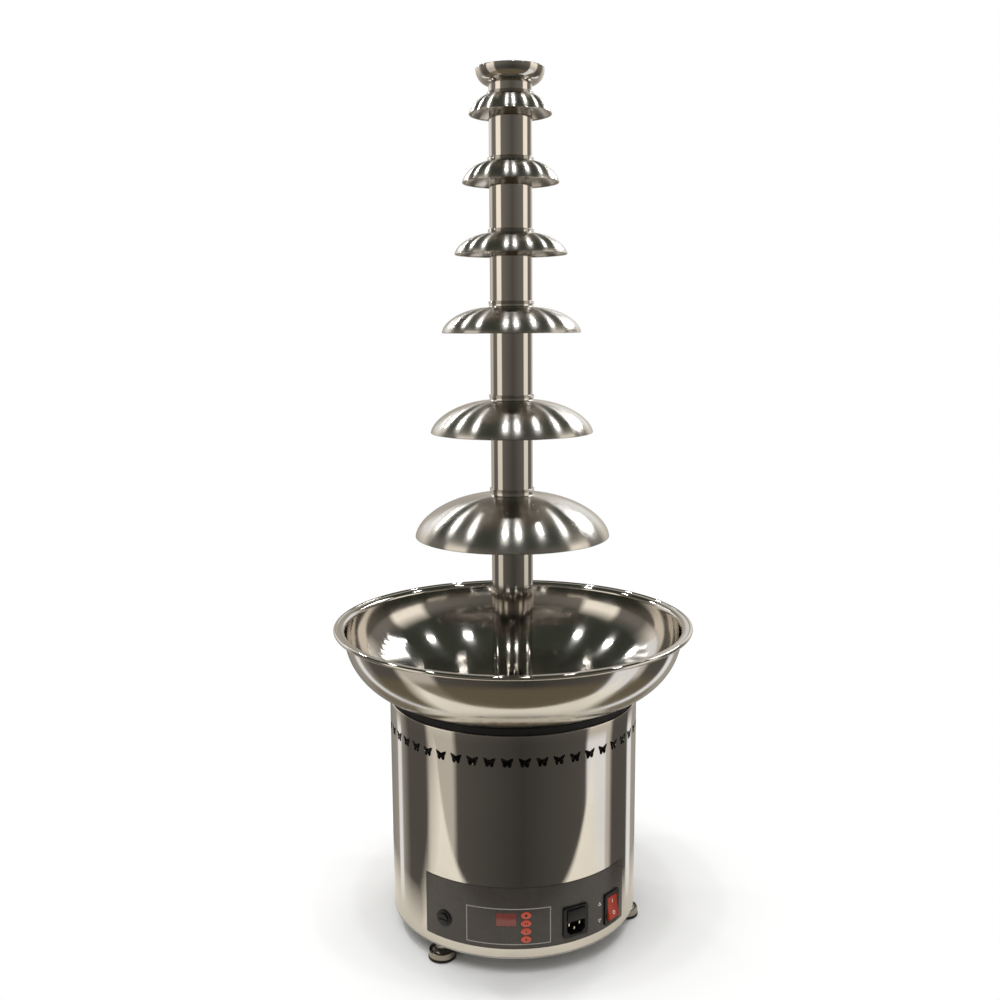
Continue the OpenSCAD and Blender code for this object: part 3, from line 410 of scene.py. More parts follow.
def softened_node(node, width, segments):
    """Copy of a CAD node with its triangles merged into whole faces and its edges rounded."""
    pick(frame["nodes"][node])
    bpy.ops.object.duplicate()
    piece = bpy.context.object
    bpy.ops.object.parent_clear(type="CLEAR_KEEP_TRANSFORM")
    piece.name = "soft_" + node
    bpy.ops.object.mode_set(mode="EDIT")
    bpy.ops.mesh.select_all(action="SELECT")
    bpy.ops.mesh.remove_doubles(threshold=MERGE)
    bpy.ops.mesh.dissolve_limited(angle_limit=math.radians(1), use_dissolve_boundaries=False)
    bpy.ops.object.mode_set(mode="OBJECT")
    soften(piece, width, segments)
    return smooth(piece)


def settle(piece, body, slot, finish, *nodes):
    """Hands a finished piece to its body and its finish; the slot argument is not used."""
    piece.data.materials.clear()
    piece.data.materials.append(finish)
    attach(piece, body)
    if nodes:
        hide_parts(*nodes)
    return piece


# Finishes


class Finish:
    """A material with its shader and short ways to add nodes."""

    def __init__(self, name, colour, metallic=0.0, roughness=0.5):
        self.material = bpy.data.materials.new(name)
        self.material.use_nodes = True
        self.nodes = self.material.node_tree.nodes
        self.links = self.material.node_tree.links
        self.shader = self.nodes["Principled BSDF"]
        self.set("Base Color", (*colour, 1))
        self.set("Metallic", metallic)
        self.set("Roughness", roughness)
        self.place = self.nodes.new("ShaderNodeTexCoord").outputs["Object"]

    def set(self, socket, value):
        self.shader.inputs[socket].default_value = value

    def plug(self, output, socket):
        self.links.new(output, self.shader.inputs[socket])

    def feed(self, value, socket):
        """Links an output to a socket, or sets a plain value on it."""
        if hasattr(value, "links"):
            self.links.new(value, socket)
        else:
            socket.default_value = value

    def grain(self, source, scale, detail, rough):
        node = self.nodes.new("ShaderNodeTexNoise")
        node.inputs["Scale"].default_value = scale
        node.inputs["Detail"].default_value = detail
        node.inputs["Roughness"].default_value = rough
        self.links.new(source, node.inputs["Vector"])
        return node.outputs["Fac"]

    def noise(self, scale, detail=3.0, rough=0.5, stretch=None):
        source = self.place
        if stretch:
            mapping = self.nodes.new("ShaderNodeMapping")
            mapping.inputs["Scale"].default_value = stretch
            self.links.new(source, mapping.inputs["Vector"])
            source = mapping.outputs["Vector"]
        return self.grain(source, scale, detail, rough)

    def axes(self, source):
        split = self.nodes.new("ShaderNodeSeparateXYZ")
        self.links.new(source, split.inputs["Vector"])
        return [split.outputs[axis] for axis in "XYZ"]

    def reach(self, x, y):
        """Distance from the upright axis."""
        squares = self.maths("ADD", self.maths("MULTIPLY", x, x), self.maths("MULTIPLY", y, y))
        return self.maths("SQRT", squares)

    def rings(self, scale, detail=2.0):
        """Noise that runs round the upright axis, as polishing marks do."""
        x, y, z = self.axes(self.place)
        pair = self.nodes.new("ShaderNodeCombineXYZ")
        self.links.new(self.reach(x, y), pair.inputs["X"])
        self.links.new(z, pair.inputs["Y"])
        return self.grain(pair.outputs["Vector"], scale, detail, 0.5)

    def between(self, output, low, high, start=0.3, end=0.7):
        """From low to high while an output goes from start to end."""
        node = self.nodes.new("ShaderNodeMapRange")
        node.inputs["From Min"].default_value = start
        node.inputs["From Max"].default_value = end
        node.inputs["To Min"].default_value = low
        node.inputs["To Max"].default_value = high
        self.links.new(output, node.inputs["Value"])
        return node.outputs["Result"]

    def rise(self, output, start, end):
        return self.between(output, 0.0, 1.0, start, end)

    def maths(self, operation, *values):
        node = self.nodes.new("ShaderNodeMath")
        node.operation = operation
        for value, socket in zip(values, node.inputs):
            self.feed(value, socket)
        return node.outputs["Value"]

    def ramp(self, output, *stops):
        node = self.nodes.new("ShaderNodeValToRGB")
        marks = node.color_ramp.elements
        while len(marks) < len(stops):
            marks.new(0.5)
        for mark, (position, colour) in zip(marks, stops):
            mark.position = position
            mark.color = (*colour, 1)
        self.links.new(output, node.inputs["Fac"])
        return node.outputs["Color"]

    def blend(self, share, first, second, kind="RGBA"):
        """Colour or number between two others, each an output or a plain value."""
        node = self.nodes.new("ShaderNodeMix")
        node.data_type = kind
        self.links.new(share, node.inputs["Factor"])
        self.feed(first, node.inputs["A"])
        self.feed(second, node.inputs["B"])
        return node.outputs["Result"]

    def bump(self, output, depth, under=None):
        node = self.nodes.new("ShaderNodeBump")
        node.inputs["Strength"].default_value = 1.0
        node.inputs["Distance"].default_value = depth * MM
        self.links.new(output, node.inputs["Height"])
        if under is not None:
            self.links.new(under, node.inputs["Normal"])
        return node.outputs["Normal"]

    def see_through(self, share, surface):
        """Makes a share of the surface clear."""
        clear = self.nodes.new("ShaderNodeBsdfTransparent")
        mix = self.nodes.new("ShaderNodeMixShader")
        self.links.new(share, mix.inputs["Fac"])
        self.links.new(surface, mix.inputs[1])
        self.links.new(clear.outputs["BSDF"], mix.inputs[2])
        self.links.new(mix.outputs["Shader"], self.nodes["Material Output"].inputs["Surface"])


def shade(colour, factor):
    return tuple(factor * c for c in colour)


def polished_steel(name, tint, roughness, streak, wave, brushed_floor=None):
    """Polished stainless steel: streaks, faint polishing rings, smudges and a slightly uneven sheet."""
    f = Finish(name, tint, 1.0, roughness)
    smudge = f.noise(scale=38, detail=2.0)
    drift = f.noise(scale=9, detail=3.0)
    f.plug(f.ramp(drift, (0.3, shade(tint, 0.93)), (0.7, tint)), "Base Color")
    gloss = f.between(smudge, 0.85 * roughness, 1.25 * roughness)
    if brushed_floor:
        low, high, rougher = brushed_floor
        z = f.axes(f.place)[2]
        gloss = f.maths("MULTIPLY", gloss, f.between(z, rougher, 1.0, low * MM, high * MM))
    f.plug(gloss, "Roughness")
    uneven = f.bump(f.noise(scale=11, detail=1.0), depth=wave)
    f.plug(f.bump(f.rings(scale=1100), depth=0.0012, under=uneven), "Normal")
    f.set("Anisotropic", streak)
    f.set("Anisotropic Rotation", 0.25)
    around = f.nodes.new("ShaderNodeTangent")
    around.direction_type = "RADIAL"
    around.axis = "Z"
    f.plug(around.outputs["Tangent"], "Tangent")
    return f.material


def turned_steel(name, tint, roughness):
    """Plain metal with machining marks and light staining."""
    f = Finish(name, tint, 1.0, roughness)
    stain = f.noise(scale=120, detail=4.0, rough=0.65)
    f.plug(f.ramp(stain, (0.32, shade(tint, 0.7)), (0.68, tint)), "Base Color")
    f.plug(f.between(f.noise(scale=420, detail=3.0), 0.7 * roughness, 1.4 * roughness), "Roughness")
    f.plug(f.bump(f.noise(scale=900, detail=2.0, stretch=(1, 1, 6)), depth=0.012), "Normal")
    return f.material


def cast_metal(name, tint, roughness):
    """Cast or enamelled metal with a fine pebbled skin."""
    f = Finish(name, tint, 0.9, roughness)
    drift = f.noise(scale=60, detail=3.0)
    f.plug(f.ramp(drift, (0.35, shade(tint, 0.75)), (0.65, tint)), "Base Color")
    f.plug(f.bump(f.noise(scale=650, detail=2.0), depth=0.06), "Normal")
    return f.material


def moulded(name, tint, roughness, grain, coat=0.0):
    """Moulded plastic or rubber: fine grain, small colour drift, handled patches."""
    f = Finish(name, tint, 0.0, roughness)
    light = tuple(min(1.0, 1.1 * c + 0.001) for c in tint)
    drift = f.noise(scale=55, detail=4.0, rough=0.6)
    f.plug(f.ramp(drift, (0.38, tint), (0.72, light)), "Base Color")
    f.plug(f.between(f.noise(scale=90, detail=3.0), 0.8 * roughness, 1.25 * roughness), "Roughness")
    f.plug(f.bump(f.noise(scale=1600, detail=2.0), depth=grain), "Normal")
    f.set("Specular IOR Level", 0.3)
    f.set("Coat Weight", coat)
    f.set("Coat Roughness", 0.12)
    return f.material


def fibre_board(name, tint):
    """Matt pressed board with coarse fibres."""
    f = Finish(name, tint, 0.0, 0.95)
    fibres = f.noise(scale=260, detail=5.0, rough=0.7)
    f.plug(f.ramp(fibres, (0.3, shade(tint, 0.8)), (0.7, tint)), "Base Color")
    f.plug(f.bump(f.noise(scale=700, detail=4.0, rough=0.7), depth=0.3), "Normal")
    return f.material


STEEL = (0.669, 0.639, 0.598)
# Heights between which the basin's floor turns from brushed to polished, and how much rougher it is
BRUSHED_FLOOR = (298.0, 340.0, 1.5)
FOOT_STEEL = (0.36, 0.33, 0.29)
basin_finish = polished_steel(
    "basin_steel", STEEL, 0.08, streak=1.0, wave=0.008, brushed_floor=BRUSHED_FLOOR
)
dome_finish = polished_steel("dome_steel", STEEL, 0.22, streak=1.0, wave=0.006)
tube_finish = polished_steel("tube_steel", STEEL, 0.06, streak=0.3, wave=0.004)
shell_finish = polished_steel("shell_steel", STEEL, 0.055, streak=0.2, wave=0.03)
foot_finish = polished_steel("foot_steel", FOOT_STEEL, 0.28, streak=0.3, wave=0.01)
plain_finish = turned_steel("plain_steel", (0.48, 0.48, 0.49), 0.32)
aluminium_finish = cast_metal("cast_aluminium", (0.62, 0.63, 0.65), 0.42)
enamel_finish = cast_metal("motor_enamel", (0.05, 0.053, 0.06), 0.38)
bronze_finish = turned_steel("bush_bronze", (0.62, 0.40, 0.17), 0.3)
contact_finish = turned_steel("contact_brass", (0.72, 0.66, 0.48), 0.24)
rubber_finish = moulded("black_rubber", (0.012, 0.012, 0.012), 0.62, 0.03)
plastic_finish = moulded("black_plastic", (0.006, 0.006, 0.0065), 0.36, 0.02)
panel_finish = moulded("panel_film", (0.050, 0.042, 0.035), 0.30, 0.008, 0.25)
red_finish = moulded("red_plastic", (0.38, 0.030, 0.010), 0.26, 0.006, 0.15)
key_finish = moulded("key_red", (0.52, 0.085, 0.05), 0.32, 0.01, 0.3)
window_finish = moulded("display_filter", (0.20, 0.045, 0.035), 0.22, 0.003, 0.5)
board_finish = moulded("circuit_board", (0.02, 0.12, 0.05), 0.4, 0.02)
ceramic_finish = moulded("pale_moulding", (0.70, 0.67, 0.60), 0.4, 0.01)
mark_white = moulded("white_print", (0.78, 0.77, 0.74), 0.5, 0.004)
mark_grey = moulded("grey_print", (0.36, 0.34, 0.31), 0.45, 0.004)
mark_dark = moulded("dark_print", (0.035, 0.012, 0.010), 0.5, 0.004)
insulation_finish = fibre_board("fibre_board", (0.74, 0.70, 0.58))


# Housing


def butterfly():
    """Outline of a vent; one wing is drawn in shares of its width and height and mirrored."""
    wing = [
        (0, 0.25), (0.2, 0.38), (0.44, 0.5), (0.5, 0.44), (0.45, 0.2), (0.37, 0),
        (0.33, -0.36), (0.22, -0.5), (0.08, -0.45), (0, -0.24),
    ]
    other = [(-x, z) for x, z in reversed(wing[1:-1])]
    return [(x * VENT_W, z * VENT_H) for x, z in wing + other]


def housing():
    ri = BODY_R - SHELL_T
    lip_r = BODY_R - SHELL_LIP
    under = SHELL_TOP_Z - SHELL_T
    rows = [*WINDOW_Z, *SHELL_ROWS]
    outer = [(BODY_R, SHELL_Z + EASE)] + [(BODY_R, z) for z in rows]
    edge_r, edge_z = BODY_R - SHELL_EDGE_R, SHELL_TOP_Z - SHELL_EDGE_R
    edge = ellipse(edge_r, edge_z, SHELL_EDGE_R, SHELL_EDGE_R, 0, 90, 6)
    points = [(ri, SHELL_Z), (BODY_R - EASE, SHELL_Z)] + outer + edge
    points += [(lip_r, SHELL_TOP_Z), (lip_r, under), (ri, under)] + [(ri, z) for z in reversed(rows)]
    shell = turned("housing_shell_spun", points, steps=384)
    vents = radial_block("vents", butterfly(), VENT_ANGLE, VENT_Z, BODY_R - CUT_IN, BODY_R + CUT_OUT)
    pick(vents)
    bpy.ops.object.mode_set(mode="EDIT")
    bpy.ops.mesh.select_all(action="SELECT")
    sweep = math.tau - math.tau / VENT_COUNT
    bpy.ops.mesh.spin(steps=VENT_COUNT - 1, dupli=True, angle=sweep, center=(0, 0, 0), axis=(0, 0, 1))
    bpy.ops.object.mode_set(mode="OBJECT")
    cut(shell, vents)
    sill = band(ri - CUT_OUT, BODY_R + CUT_OUT, *WINDOW_Z)
    cut(shell, curved_strip("window", sill, 0, WINDOW_HALF, steps=24))
    settle(smooth(shell), "base", "polished_steel", shell_finish, "housing_shell")


def ring_seal():
    """Black ring between housing and basin; its top follows the bowl."""
    ri = BODY_R - SHELL_LIP
    ro = BODY_R - SEAL_INSET
    head_r = ro - SEAL_HEAD[0]
    drop = BASIN_CURVE_Z - BASIN_FLOOR_Z
    top = []
    for i in range(SEAL_STEPS + 1):
        r = head_r + (ri - head_r) * i / SEAL_STEPS
        bend = max(0.0, r - BASIN_FLOOR_R) / (BASIN_WALL_R - BASIN_FLOOR_R)
        top.append((r, BASIN_CURVE_Z - drop * math.sqrt(1 - bend * bend) - SEAL_GAP))
    foot = [(ri, SHELL_TOP_Z), (ro - SEAL_FOOT[0], SHELL_TOP_Z), (ro, SHELL_TOP_Z + SEAL_FOOT[1])]
    seal = smooth(turned("ring_seal", foot + [(ro, top[0][1] - SEAL_HEAD[1])] + top, steps=192))
    settle(seal, "base", "black_rubber", rubber_finish, "top_gasket")


# Basin and tower


def centring_pin(angle):
    low = BASIN_FLOOR_Z + PIN_SINK
    high = BASIN_TOP_Z + PIN_H
    tip = ellipse(PIN_R - PIN_ROUND, high - PIN_ROUND, PIN_ROUND, PIN_ROUND, 0, 90, 5)
    pin = turned("centring_pin", [(PIN_CORE, low), (PIN_R, low)] + tip + [(PIN_CORE, high)], steps=32)
    placed(pin, (0, -(SOCKET_R + PIN_R), 0))
    return swing(pin, angle)


def basin():
    reach = BASIN_WALL_R - BASIN_FLOOR_R
    drop = BASIN_CURVE_Z - BASIN_FLOOR_Z
    outer = ellipse(BASIN_FLOOR_R, BASIN_CURVE_Z, reach, drop, 0, -90, 56)
    inner = ellipse(BASIN_FLOOR_R, BASIN_CURVE_Z, reach - BASIN_T, drop - BASIN_T, -90, 0, 56)
    turn_x = BASIN_WALL_R + LIP_TURN_R
    turn_z = LIP_Z - BASIN_T - LIP_TURN_R
    over_r = LIP_TURN_R + BASIN_T
    roll = ellipse(BASIN_R - BASIN_BEAD, BASIN_RIM_Z - BASIN_BEAD, BASIN_BEAD, BASIN_BEAD, 140, -170, 24)
    inside_turn = ellipse(turn_x, turn_z, over_r, over_r, 180, 90, 12)
    outside_turn = ellipse(turn_x, turn_z, LIP_TURN_R, LIP_TURN_R, 90, 180, 10)
    floor = [(r, BASIN_FLOOR_Z) for r in FLOOR_RINGS] + [(r, BASIN_TOP_Z) for r in reversed(FLOOR_RINGS)]
    bowl = turned("basin_spun", inside_turn + roll + outside_turn + outer + floor + inner, steps=240)
    pins = [centring_pin(angle) for angle in PIN_ANGLES]
    settle(smooth(joined("basin_spun", [bowl] + pins)), "base", "polished_steel", basin_finish, "basin")


def shoulder_z(i):
    return DOMES[i][1] + DOMES[i][2]


def collar_outline(top, collar_h):
    """Fillet and two rolls of a collar, from the dome up; a low collar has no fillet."""
    pitch = min(COLLAR_PITCH, collar_h - 2 * COLLAR_BEAD)
    upper = top + collar_h - COLLAR_BEAD
    lower = upper - pitch
    meet = math.degrees(math.asin(min(1.0, pitch / (2 * COLLAR_BEAD))))
    fillet = [(SHOULDER_R, top)]
    start = -15
    if lower - COLLAR_BEAD > top + COLLAR_FILLET - 0.1:
        fillet = ellipse(SHOULDER_R, top + COLLAR_FILLET, COLLAR_FILLET, COLLAR_FILLET, -90, -180, 8)
        start = -85
    low_roll = ellipse(COLLAR_R, lower, COLLAR_BEAD, COLLAR_BEAD, start, meet, 10)
    high_roll = ellipse(COLLAR_R, upper, COLLAR_BEAD, COLLAR_BEAD, -meet, 90, 10)
    return fillet + low_roll + high_roll


def dome(i):
    """Sheet, hem and collar of one dome."""
    rim_r, rim_z, rise, collar_h, power = DOMES[i]
    top = shoulder_z(i)
    collar_top = top + collar_h
    sleeve = top - SLEEVE_H
    joint = top - JOINT_H
    skirt = rim_r - SHOULDER_R
    lap_r = COLLAR_R - DOME_LAP
    start = bulge_start(SHEET_LOW, rise, power)
    hem = ellipse(rim_r - RIM_BEAD, rim_z + RIM_BEAD, RIM_BEAD, RIM_BEAD, 0, 345, 23)
    outside = bulge(SHOULDER_R, rim_z, skirt, rise, power, start, 90, 60)
    inside = bulge(SHOULDER_R, rim_z, skirt - DOME_T, rise - DOME_T, power, 90, start, 48)
    node = "dome_%d" % (i + 1)
    body = "tier_%d" % (i + 1)
    sheet = outside + [(lap_r, top), (lap_r, top - DOME_T)] + inside
    settle(smooth(turned(node + "_sheet", sheet, steps=192)), body, "polished_steel", dome_finish, node)
    settle(smooth(turned(node + "_hem", hem, steps=192)), body, "polished_steel", tube_finish)
    collar = collar_outline(top, collar_h) + [(SOCKET_R + EASE, collar_top), (SOCKET_R, collar_top - EASE)]
    collar += [(SOCKET_R, joint), (TUBE_R, joint), (TUBE_R, sleeve), (COLLAR_R, sleeve)]
    collar += [(COLLAR_R, top - DOME_T)]
    settle(smooth(turned(node + "_collar", collar, steps=144)), body, "polished_steel", tube_finish)


def tube(i):
    """Tube below a dome; the lowest has four inlet arches."""
    low = shoulder_z(i - 1) - JOINT_H if i else BASIN_TOP_Z
    high = shoulder_z(i) - JOINT_H
    ri = TUBE_R - TUBE_T
    rows = [low + (high - low) * k / TUBE_ROWS for k in range(1, TUBE_ROWS)]
    points = [(ri, low), (TUBE_R - TUBE_EDGE, low), (TUBE_R, low + TUBE_EDGE)]
    points += [(TUBE_R, z) for z in rows]
    points += [(TUBE_R, high - TUBE_EDGE), (TUBE_R - TUBE_EDGE, high), (ri, high)]
    points += [(ri, z) for z in reversed(rows)]
    piece = turned("tube_%d_drawn" % (i + 1), points, steps=144)
    if i == 0:
        sill = [(-ARCH_R, -ARCH_SINK), (ARCH_R, -ARCH_SINK)]
        arch = sill + ellipse(0, ARCH_Z, ARCH_R, ARCH_R, 0, 180, 20)
        for angle in ARCH_ANGLES:
            cut(piece, radial_block("inlet_arch", arch, angle, low, TUBE_R - CUT_IN, TUBE_R + CUT_OUT))
    settle(smooth(piece), "tier_%d" % (i + 1), "polished_steel", tube_finish, "tube_%d" % (i + 1))


def crown():
    foot = shoulder_z(len(DOMES) - 1) - JOINT_H
    flare = CROWN_R - TUBE_R
    ri = TUBE_R - TUBE_T
    start = bulge_start(CROWN_LIP, CROWN_H, CROWN_POWER)
    outside = bulge(TUBE_R, CROWN_Z, flare, -CROWN_H, CROWN_POWER, 90, start, 48)
    lip = ellipse(CROWN_R - CROWN_LIP, CROWN_Z - CROWN_LIP, CROWN_LIP, CROWN_LIP, 0, 180, 8)
    inside = bulge(TUBE_R, CROWN_Z, flare - DOME_T, DOME_T - CROWN_H, CROWN_POWER, start, 90, 40)
    points = [(ri, foot), (TUBE_R, foot)] + outside + lip + inside + [(ri, CROWN_Z - CROWN_H + DOME_T)]
    piece = smooth(turned("crown_spun", points, steps=160))
    settle(piece, "crown_cup", "polished_steel", tube_finish, "crown")


def auger():
    blade = band(AUGER_SHAFT_R + FLIGHT_GAP, AUGER_R, FLIGHT_Z, FLIGHT_Z + FLIGHT_T, EASE)
    flight = wound("auger_blade", blade, FLIGHT_TURNS, AUGER_PITCH, steps=48)
    settle(smooth(flight), "rotor", "polished_steel", tube_finish, "auger_flight")


# Control panel


def panel():
    section = band(PANEL_RI, PANEL_RO, *PANEL_Z, EASE)
    sheet = curved_strip("panel_sheet", section, 0, PANEL_HALF, steps=160)
    angle, z, w, h = DISPLAY
    holes = [("display_hole", rectangle(w, h), angle, z)]
    for i in range(KEY_COUNT):
        holes.append(("key_hole", lens(KEY_W, KEY_H, KEY_GAP, 12), KEY_ANGLE, KEY_Z + i * KEY_STEP))
    holes.append(("inlet_hole", rectangle(*INLET_HOLE), *INLET))
    holes.append(("switch_hole", rectangle(*SWITCH_HOLE), *SWITCH))
    holes.append(("fuse_hole", disc(FUSE_HOLE_R, 48), *FUSE))
    for hole in holes:
        cut(sheet, radial_block(*hole, *PANEL_CUT))
    settle(smooth(sheet), "base", "panel_film", panel_finish, "control_panel")


def panel_print():
    """Thin printed frame and arrows on the panel."""
    r0, r1 = PANEL_RO - PRINT_SINK, PANEL_RO + PRINT_RISE
    left, right = FRAME_ANGLES
    low, high = FRAME_Z
    middle = (left + right) / 2
    half = (right - left) / 2
    side = math.degrees(FRAME_LINE / 2 / PANEL_RO)
    strips = []
    for z in (low, high - FRAME_LINE):
        strips.append(curved_strip("print_line", band(r0, r1, z, z + FRAME_LINE), middle, half, steps=60))
    for angle in (left + side, right - side):
        strips.append(curved_strip("print_line", band(r0, r1, low, high), angle, side, steps=2))
    settle(smooth(joined("panel_frame_line", strips)), "base", "panel_film", mark_grey)
    arrows = []
    for z, way in ARROWS:
        tip = [(-2.6, -2.0 * way), (2.6, -2.0 * way), (0, 2.6 * way)]
        gap = [(-1.4, -1.3 * way), (1.4, -1.3 * way), (0, 1.2 * way)]
        arrow = radial_block("print_arrow", tip, ARROW_ANGLE, z, r0 - PRINT_SINK, r1)
        arrows.append(cut(arrow, radial_block("print_gap", gap, ARROW_ANGLE, z, r0 - 1, r1 + 1)))
    settle(joined("panel_arrows", arrows), "base", "panel_film", mark_white)


def display():
    angle, z, w, h = DISPLAY
    half = math.degrees(math.asin(w / 2 / PANEL_RO))
    pane = band(PANEL_RI, PANEL_RO - DISPLAY_SINK, z - h / 2, z + h / 2)
    piece = soften(curved_strip("display_pane", pane, angle, half, steps=32), width=0.15)
    settle(smooth(piece), "base", "window_plastic", window_finish, "display_window")


def keys():
    """Four caps with their skirts and signs, from the lowest up."""
    marks = [
        [[(-1.5, 0.9), (1.5, 0.9), (0, -1.3)]],
        [[(-1.5, -0.9), (1.5, -0.9), (0, 1.3)]],
        [band(-1.6, -0.6, -1.1, 1.1), band(0.6, 1.6, -1.1, 1.1)],
        [disc(1.5)],
    ]
    sign_r = (KEY_FACE_R - PRINT_SINK, KEY_FACE_R + PRINT_SINK)
    for i in range(KEY_COUNT):
        z = KEY_Z + i * KEY_STEP
        node = "button_%d" % (i + 1)
        body = "key_%d" % (i + 1)
        cap = radial_block(node + "_cap", lens(KEY_W, KEY_H, 0, 20), KEY_ANGLE, z, KEY_ROOT_R, KEY_FACE_R)
        soften(cap, width=0.55, segments=4, angle=50)
        skirt = radial_block(node + "_skirt", lens(KEY_W, KEY_H, SKIRT_GROW, 16), KEY_ANGLE, z, *SKIRT_R)
        settle(smooth(joined(node + "_cap", [cap, skirt])), body, "red_plastic", key_finish, node)
        signs = [radial_block("sign", mark, KEY_ANGLE, z, *sign_r) for mark in marks[i]]
        settle(joined(node + "_sign", signs), body, "red_plastic", mark_dark)


def mains_parts():
    """Inlet, switch and fuse holder: the solids with rounded edges."""
    for node, body, width, slot, finish in (
        ("inlet_housing", "base", 0.45, "black_plastic", plastic_finish),
        ("fuse_drawer", "drawer", 0.35, "black_plastic", plastic_finish),
        ("inlet_pins", "base", 0.3, "contact_brass", contact_finish),
        ("switch_frame", "base", 0.5, "black_plastic", plastic_finish),
        ("switch_rocker", "rocker", 0.5, "red_plastic", red_finish),
        ("fuse_holder", "base", 0.4, "black_plastic", plastic_finish),
        ("fuse_cap", "fuse_carrier", 0.3, "black_plastic", plastic_finish),
    ):
        settle(softened_node(node, width, segments=3), body, slot, finish, node)


def rocker_marks():
    """Ring and bar printed on the two halves of the rocker."""
    hole_r, ring_r = RING_R
    angle, z = SWITCH
    ring = radial_block("rocker_ring", disc(ring_r), 0, 0, -PRINT_SINK, PRINT_RISE)
    cut(ring, radial_block("rocker_hole", disc(hole_r), 0, 0, -1, 1))
    bar = radial_block("rocker_bar", rectangle(*BAR), 0, 0, -PRINT_SINK, PRINT_RISE)
    for mark, side in ((ring, -1), (bar, 1)):
        placed(mark, (0, -ROCKER_FACE, ROCKER_MARK_Z * side), ROCKER_SLOPE * side)
        placed(mark, (0, 0, 0), -ROCKER_TILT)
        placed(mark, (0, -ROCKER_PIVOT_R, z))
        swing(mark, angle)
    settle(joined("rocker_marks", [ring, bar]), "rocker", "red_plastic", mark_white)


# Feet


def sole_outline():
    """Rubber sole with ringed ridges below."""
    points = [(FOOT_CORE, GROOVE_H), (RIDGE_R - 0.3, GROOVE_H)]
    for k in range(RIDGE_COUNT):
        r = RIDGE_R + RIDGE_STEP * k
        points += [(r, 0.0), (r + 1.8, 0.0), (r + 2.1, GROOVE_H), (r + 2.7, GROOVE_H)]
    return points + [(15.9, 0.0), (16.5, 0.6), (16.5, 2.5), (16.1, SOLE_H), (FOOT_CORE, SOLE_H)]


def pad_outline():
    """Metal cup with a rolled rim and a dished top."""
    low = SOLE_H + 0.02
    rim = ellipse(14.9, 9.3, 1.0, 1.0, 0, 115, 9)
    dish = ellipse(11.9, 10.6, 1.5, 1.2, 320, 220, 8)
    hub = [(9.4, 10.7), (8.9, 11.0), (4.6, 11.0), (4.1, 10.6)]
    return [(4.1, low), (15.6, low), (16.0, 3.4), (15.9, 6.4)] + rim + dish + hub


def stud(number):
    """Threaded rod with a hexagon above the pad."""
    name = "foot_stud_%d" % number
    low, high = STUD_Z
    core = [(FOOT_CORE, low), (STUD_R, low), (STUD_R, THREAD_Z), (THREAD_ROOT_R, THREAD_Z + 0.4)]
    core += [(THREAD_ROOT_R, high - 0.6), (THREAD_ROOT_R - 0.8, high), (FOOT_CORE, high)]
    rod = turned(name + "_rod", core, steps=40)
    root_r = THREAD_ROOT_R - 0.05
    tooth = [
        (root_r, THREAD_Z + 0.2), (THREAD_R, THREAD_Z + 0.65),
        (THREAD_R, THREAD_Z + 0.9), (root_r, THREAD_Z + 1.35),
    ]
    thread = wound(name + "_thread", tooth, THREAD_TURNS, THREAD_PITCH, steps=28)
    clear_selection()
    middle = (0, 0, NUT_Z * MM)
    bpy.ops.mesh.primitive_cylinder_add(vertices=6, radius=NUT_R * MM, depth=NUT_H * MM, location=middle)
    nut = soften(into_mesh(bpy.context.object), width=0.5, segments=2, angle=50)
    return joined(name + "_rod", [rod, thread, nut])


def feet():
    for number, angle in enumerate(FOOT_ANGLES, 1):
        foot = "foot_%d" % number
        sole_node = "foot_sole_%d" % number
        pad_node = "foot_pad_%d" % number
        stud_node = "foot_stud_%d" % number
        sole = turned(sole_node + "_moulded", sole_outline(), steps=72)
        pad = turned(pad_node + "_turned", pad_outline(), steps=72)
        for piece, body, slot, finish, node in (
            (sole, foot, "black_rubber", rubber_finish, sole_node),
            (pad, foot, "polished_steel", foot_finish, pad_node),
            (stud(number), "stud_%d" % number, "plain_steel", plain_finish, stud_node),
        ):
            placed(piece, (0, -FOOT_CIRCLE_R, 0))
            settle(smooth(swing(piece, angle)), body, slot, finish, node)


# Inner pieces keep their solids and get a finish of their own
INNER = {
    "bottom_plate": plain_finish, "bottom_screws": plain_finish, "wall_brackets": plain_finish,
    "support_deck": plain_finish, "basin_posts": plain_finish, "heater_ring": aluminium_finish,
    "insulation_disc": insulation_finish, "thermostat": ceramic_finish, "motor_can": enamel_finish,
    "gearbox": aluminium_finish, "motor_screws": plain_finish, "seal_housing": foot_finish,
    "shaft_bush": bronze_finish, "lip_seal": rubber_finish, "output_shaft": plain_finish,
    "drive_coupling": aluminium_finish, "drive_shaft": plain_finish, "auger_shaft": tube_finish,
    "display_module": plastic_finish, "control_board": board_finish, "foot_nuts": plain_finish,
}


def inner_pieces():
    for node, finish in INNER.items():
        solid = frame["nodes"][node]
        solid.data.materials.clear()
        solid.data.materials.append(finish)


# Studio: lengths in metres, angles in degrees except where radians are named
CAMERA_ANGLE = math.radians(-7.25)
CAMERA_LENS = 39.21
CAMERA_REACH = 1.306
CAMERA_ASIDE = 0.01475
CAMERA_Z = 0.7413
CAMERA_TILT = 9.15
CAMERA_ROLL = 0.37

FLOOR_R = 1.6
FLOOR_Z = -0.0005
FLOOR_COLOUR = (0.92, 0.92, 0.91)
FLOOR_IN_STEEL = (0.93, 0.88, 0.77)
# Where the floor fades: by the distance from the axis, to the eye and in the steel, and in the steel also
# by the distance ahead of the axis and by the turn to the sides, which is in radians
FADE_SEEN = (0.19, 0.52)
FADE_IN_STEEL = (0.19, 0.28)
FRONT_EDGE = (0.27, 0.29)
SIDE_TURN = (1.05, 1.3)

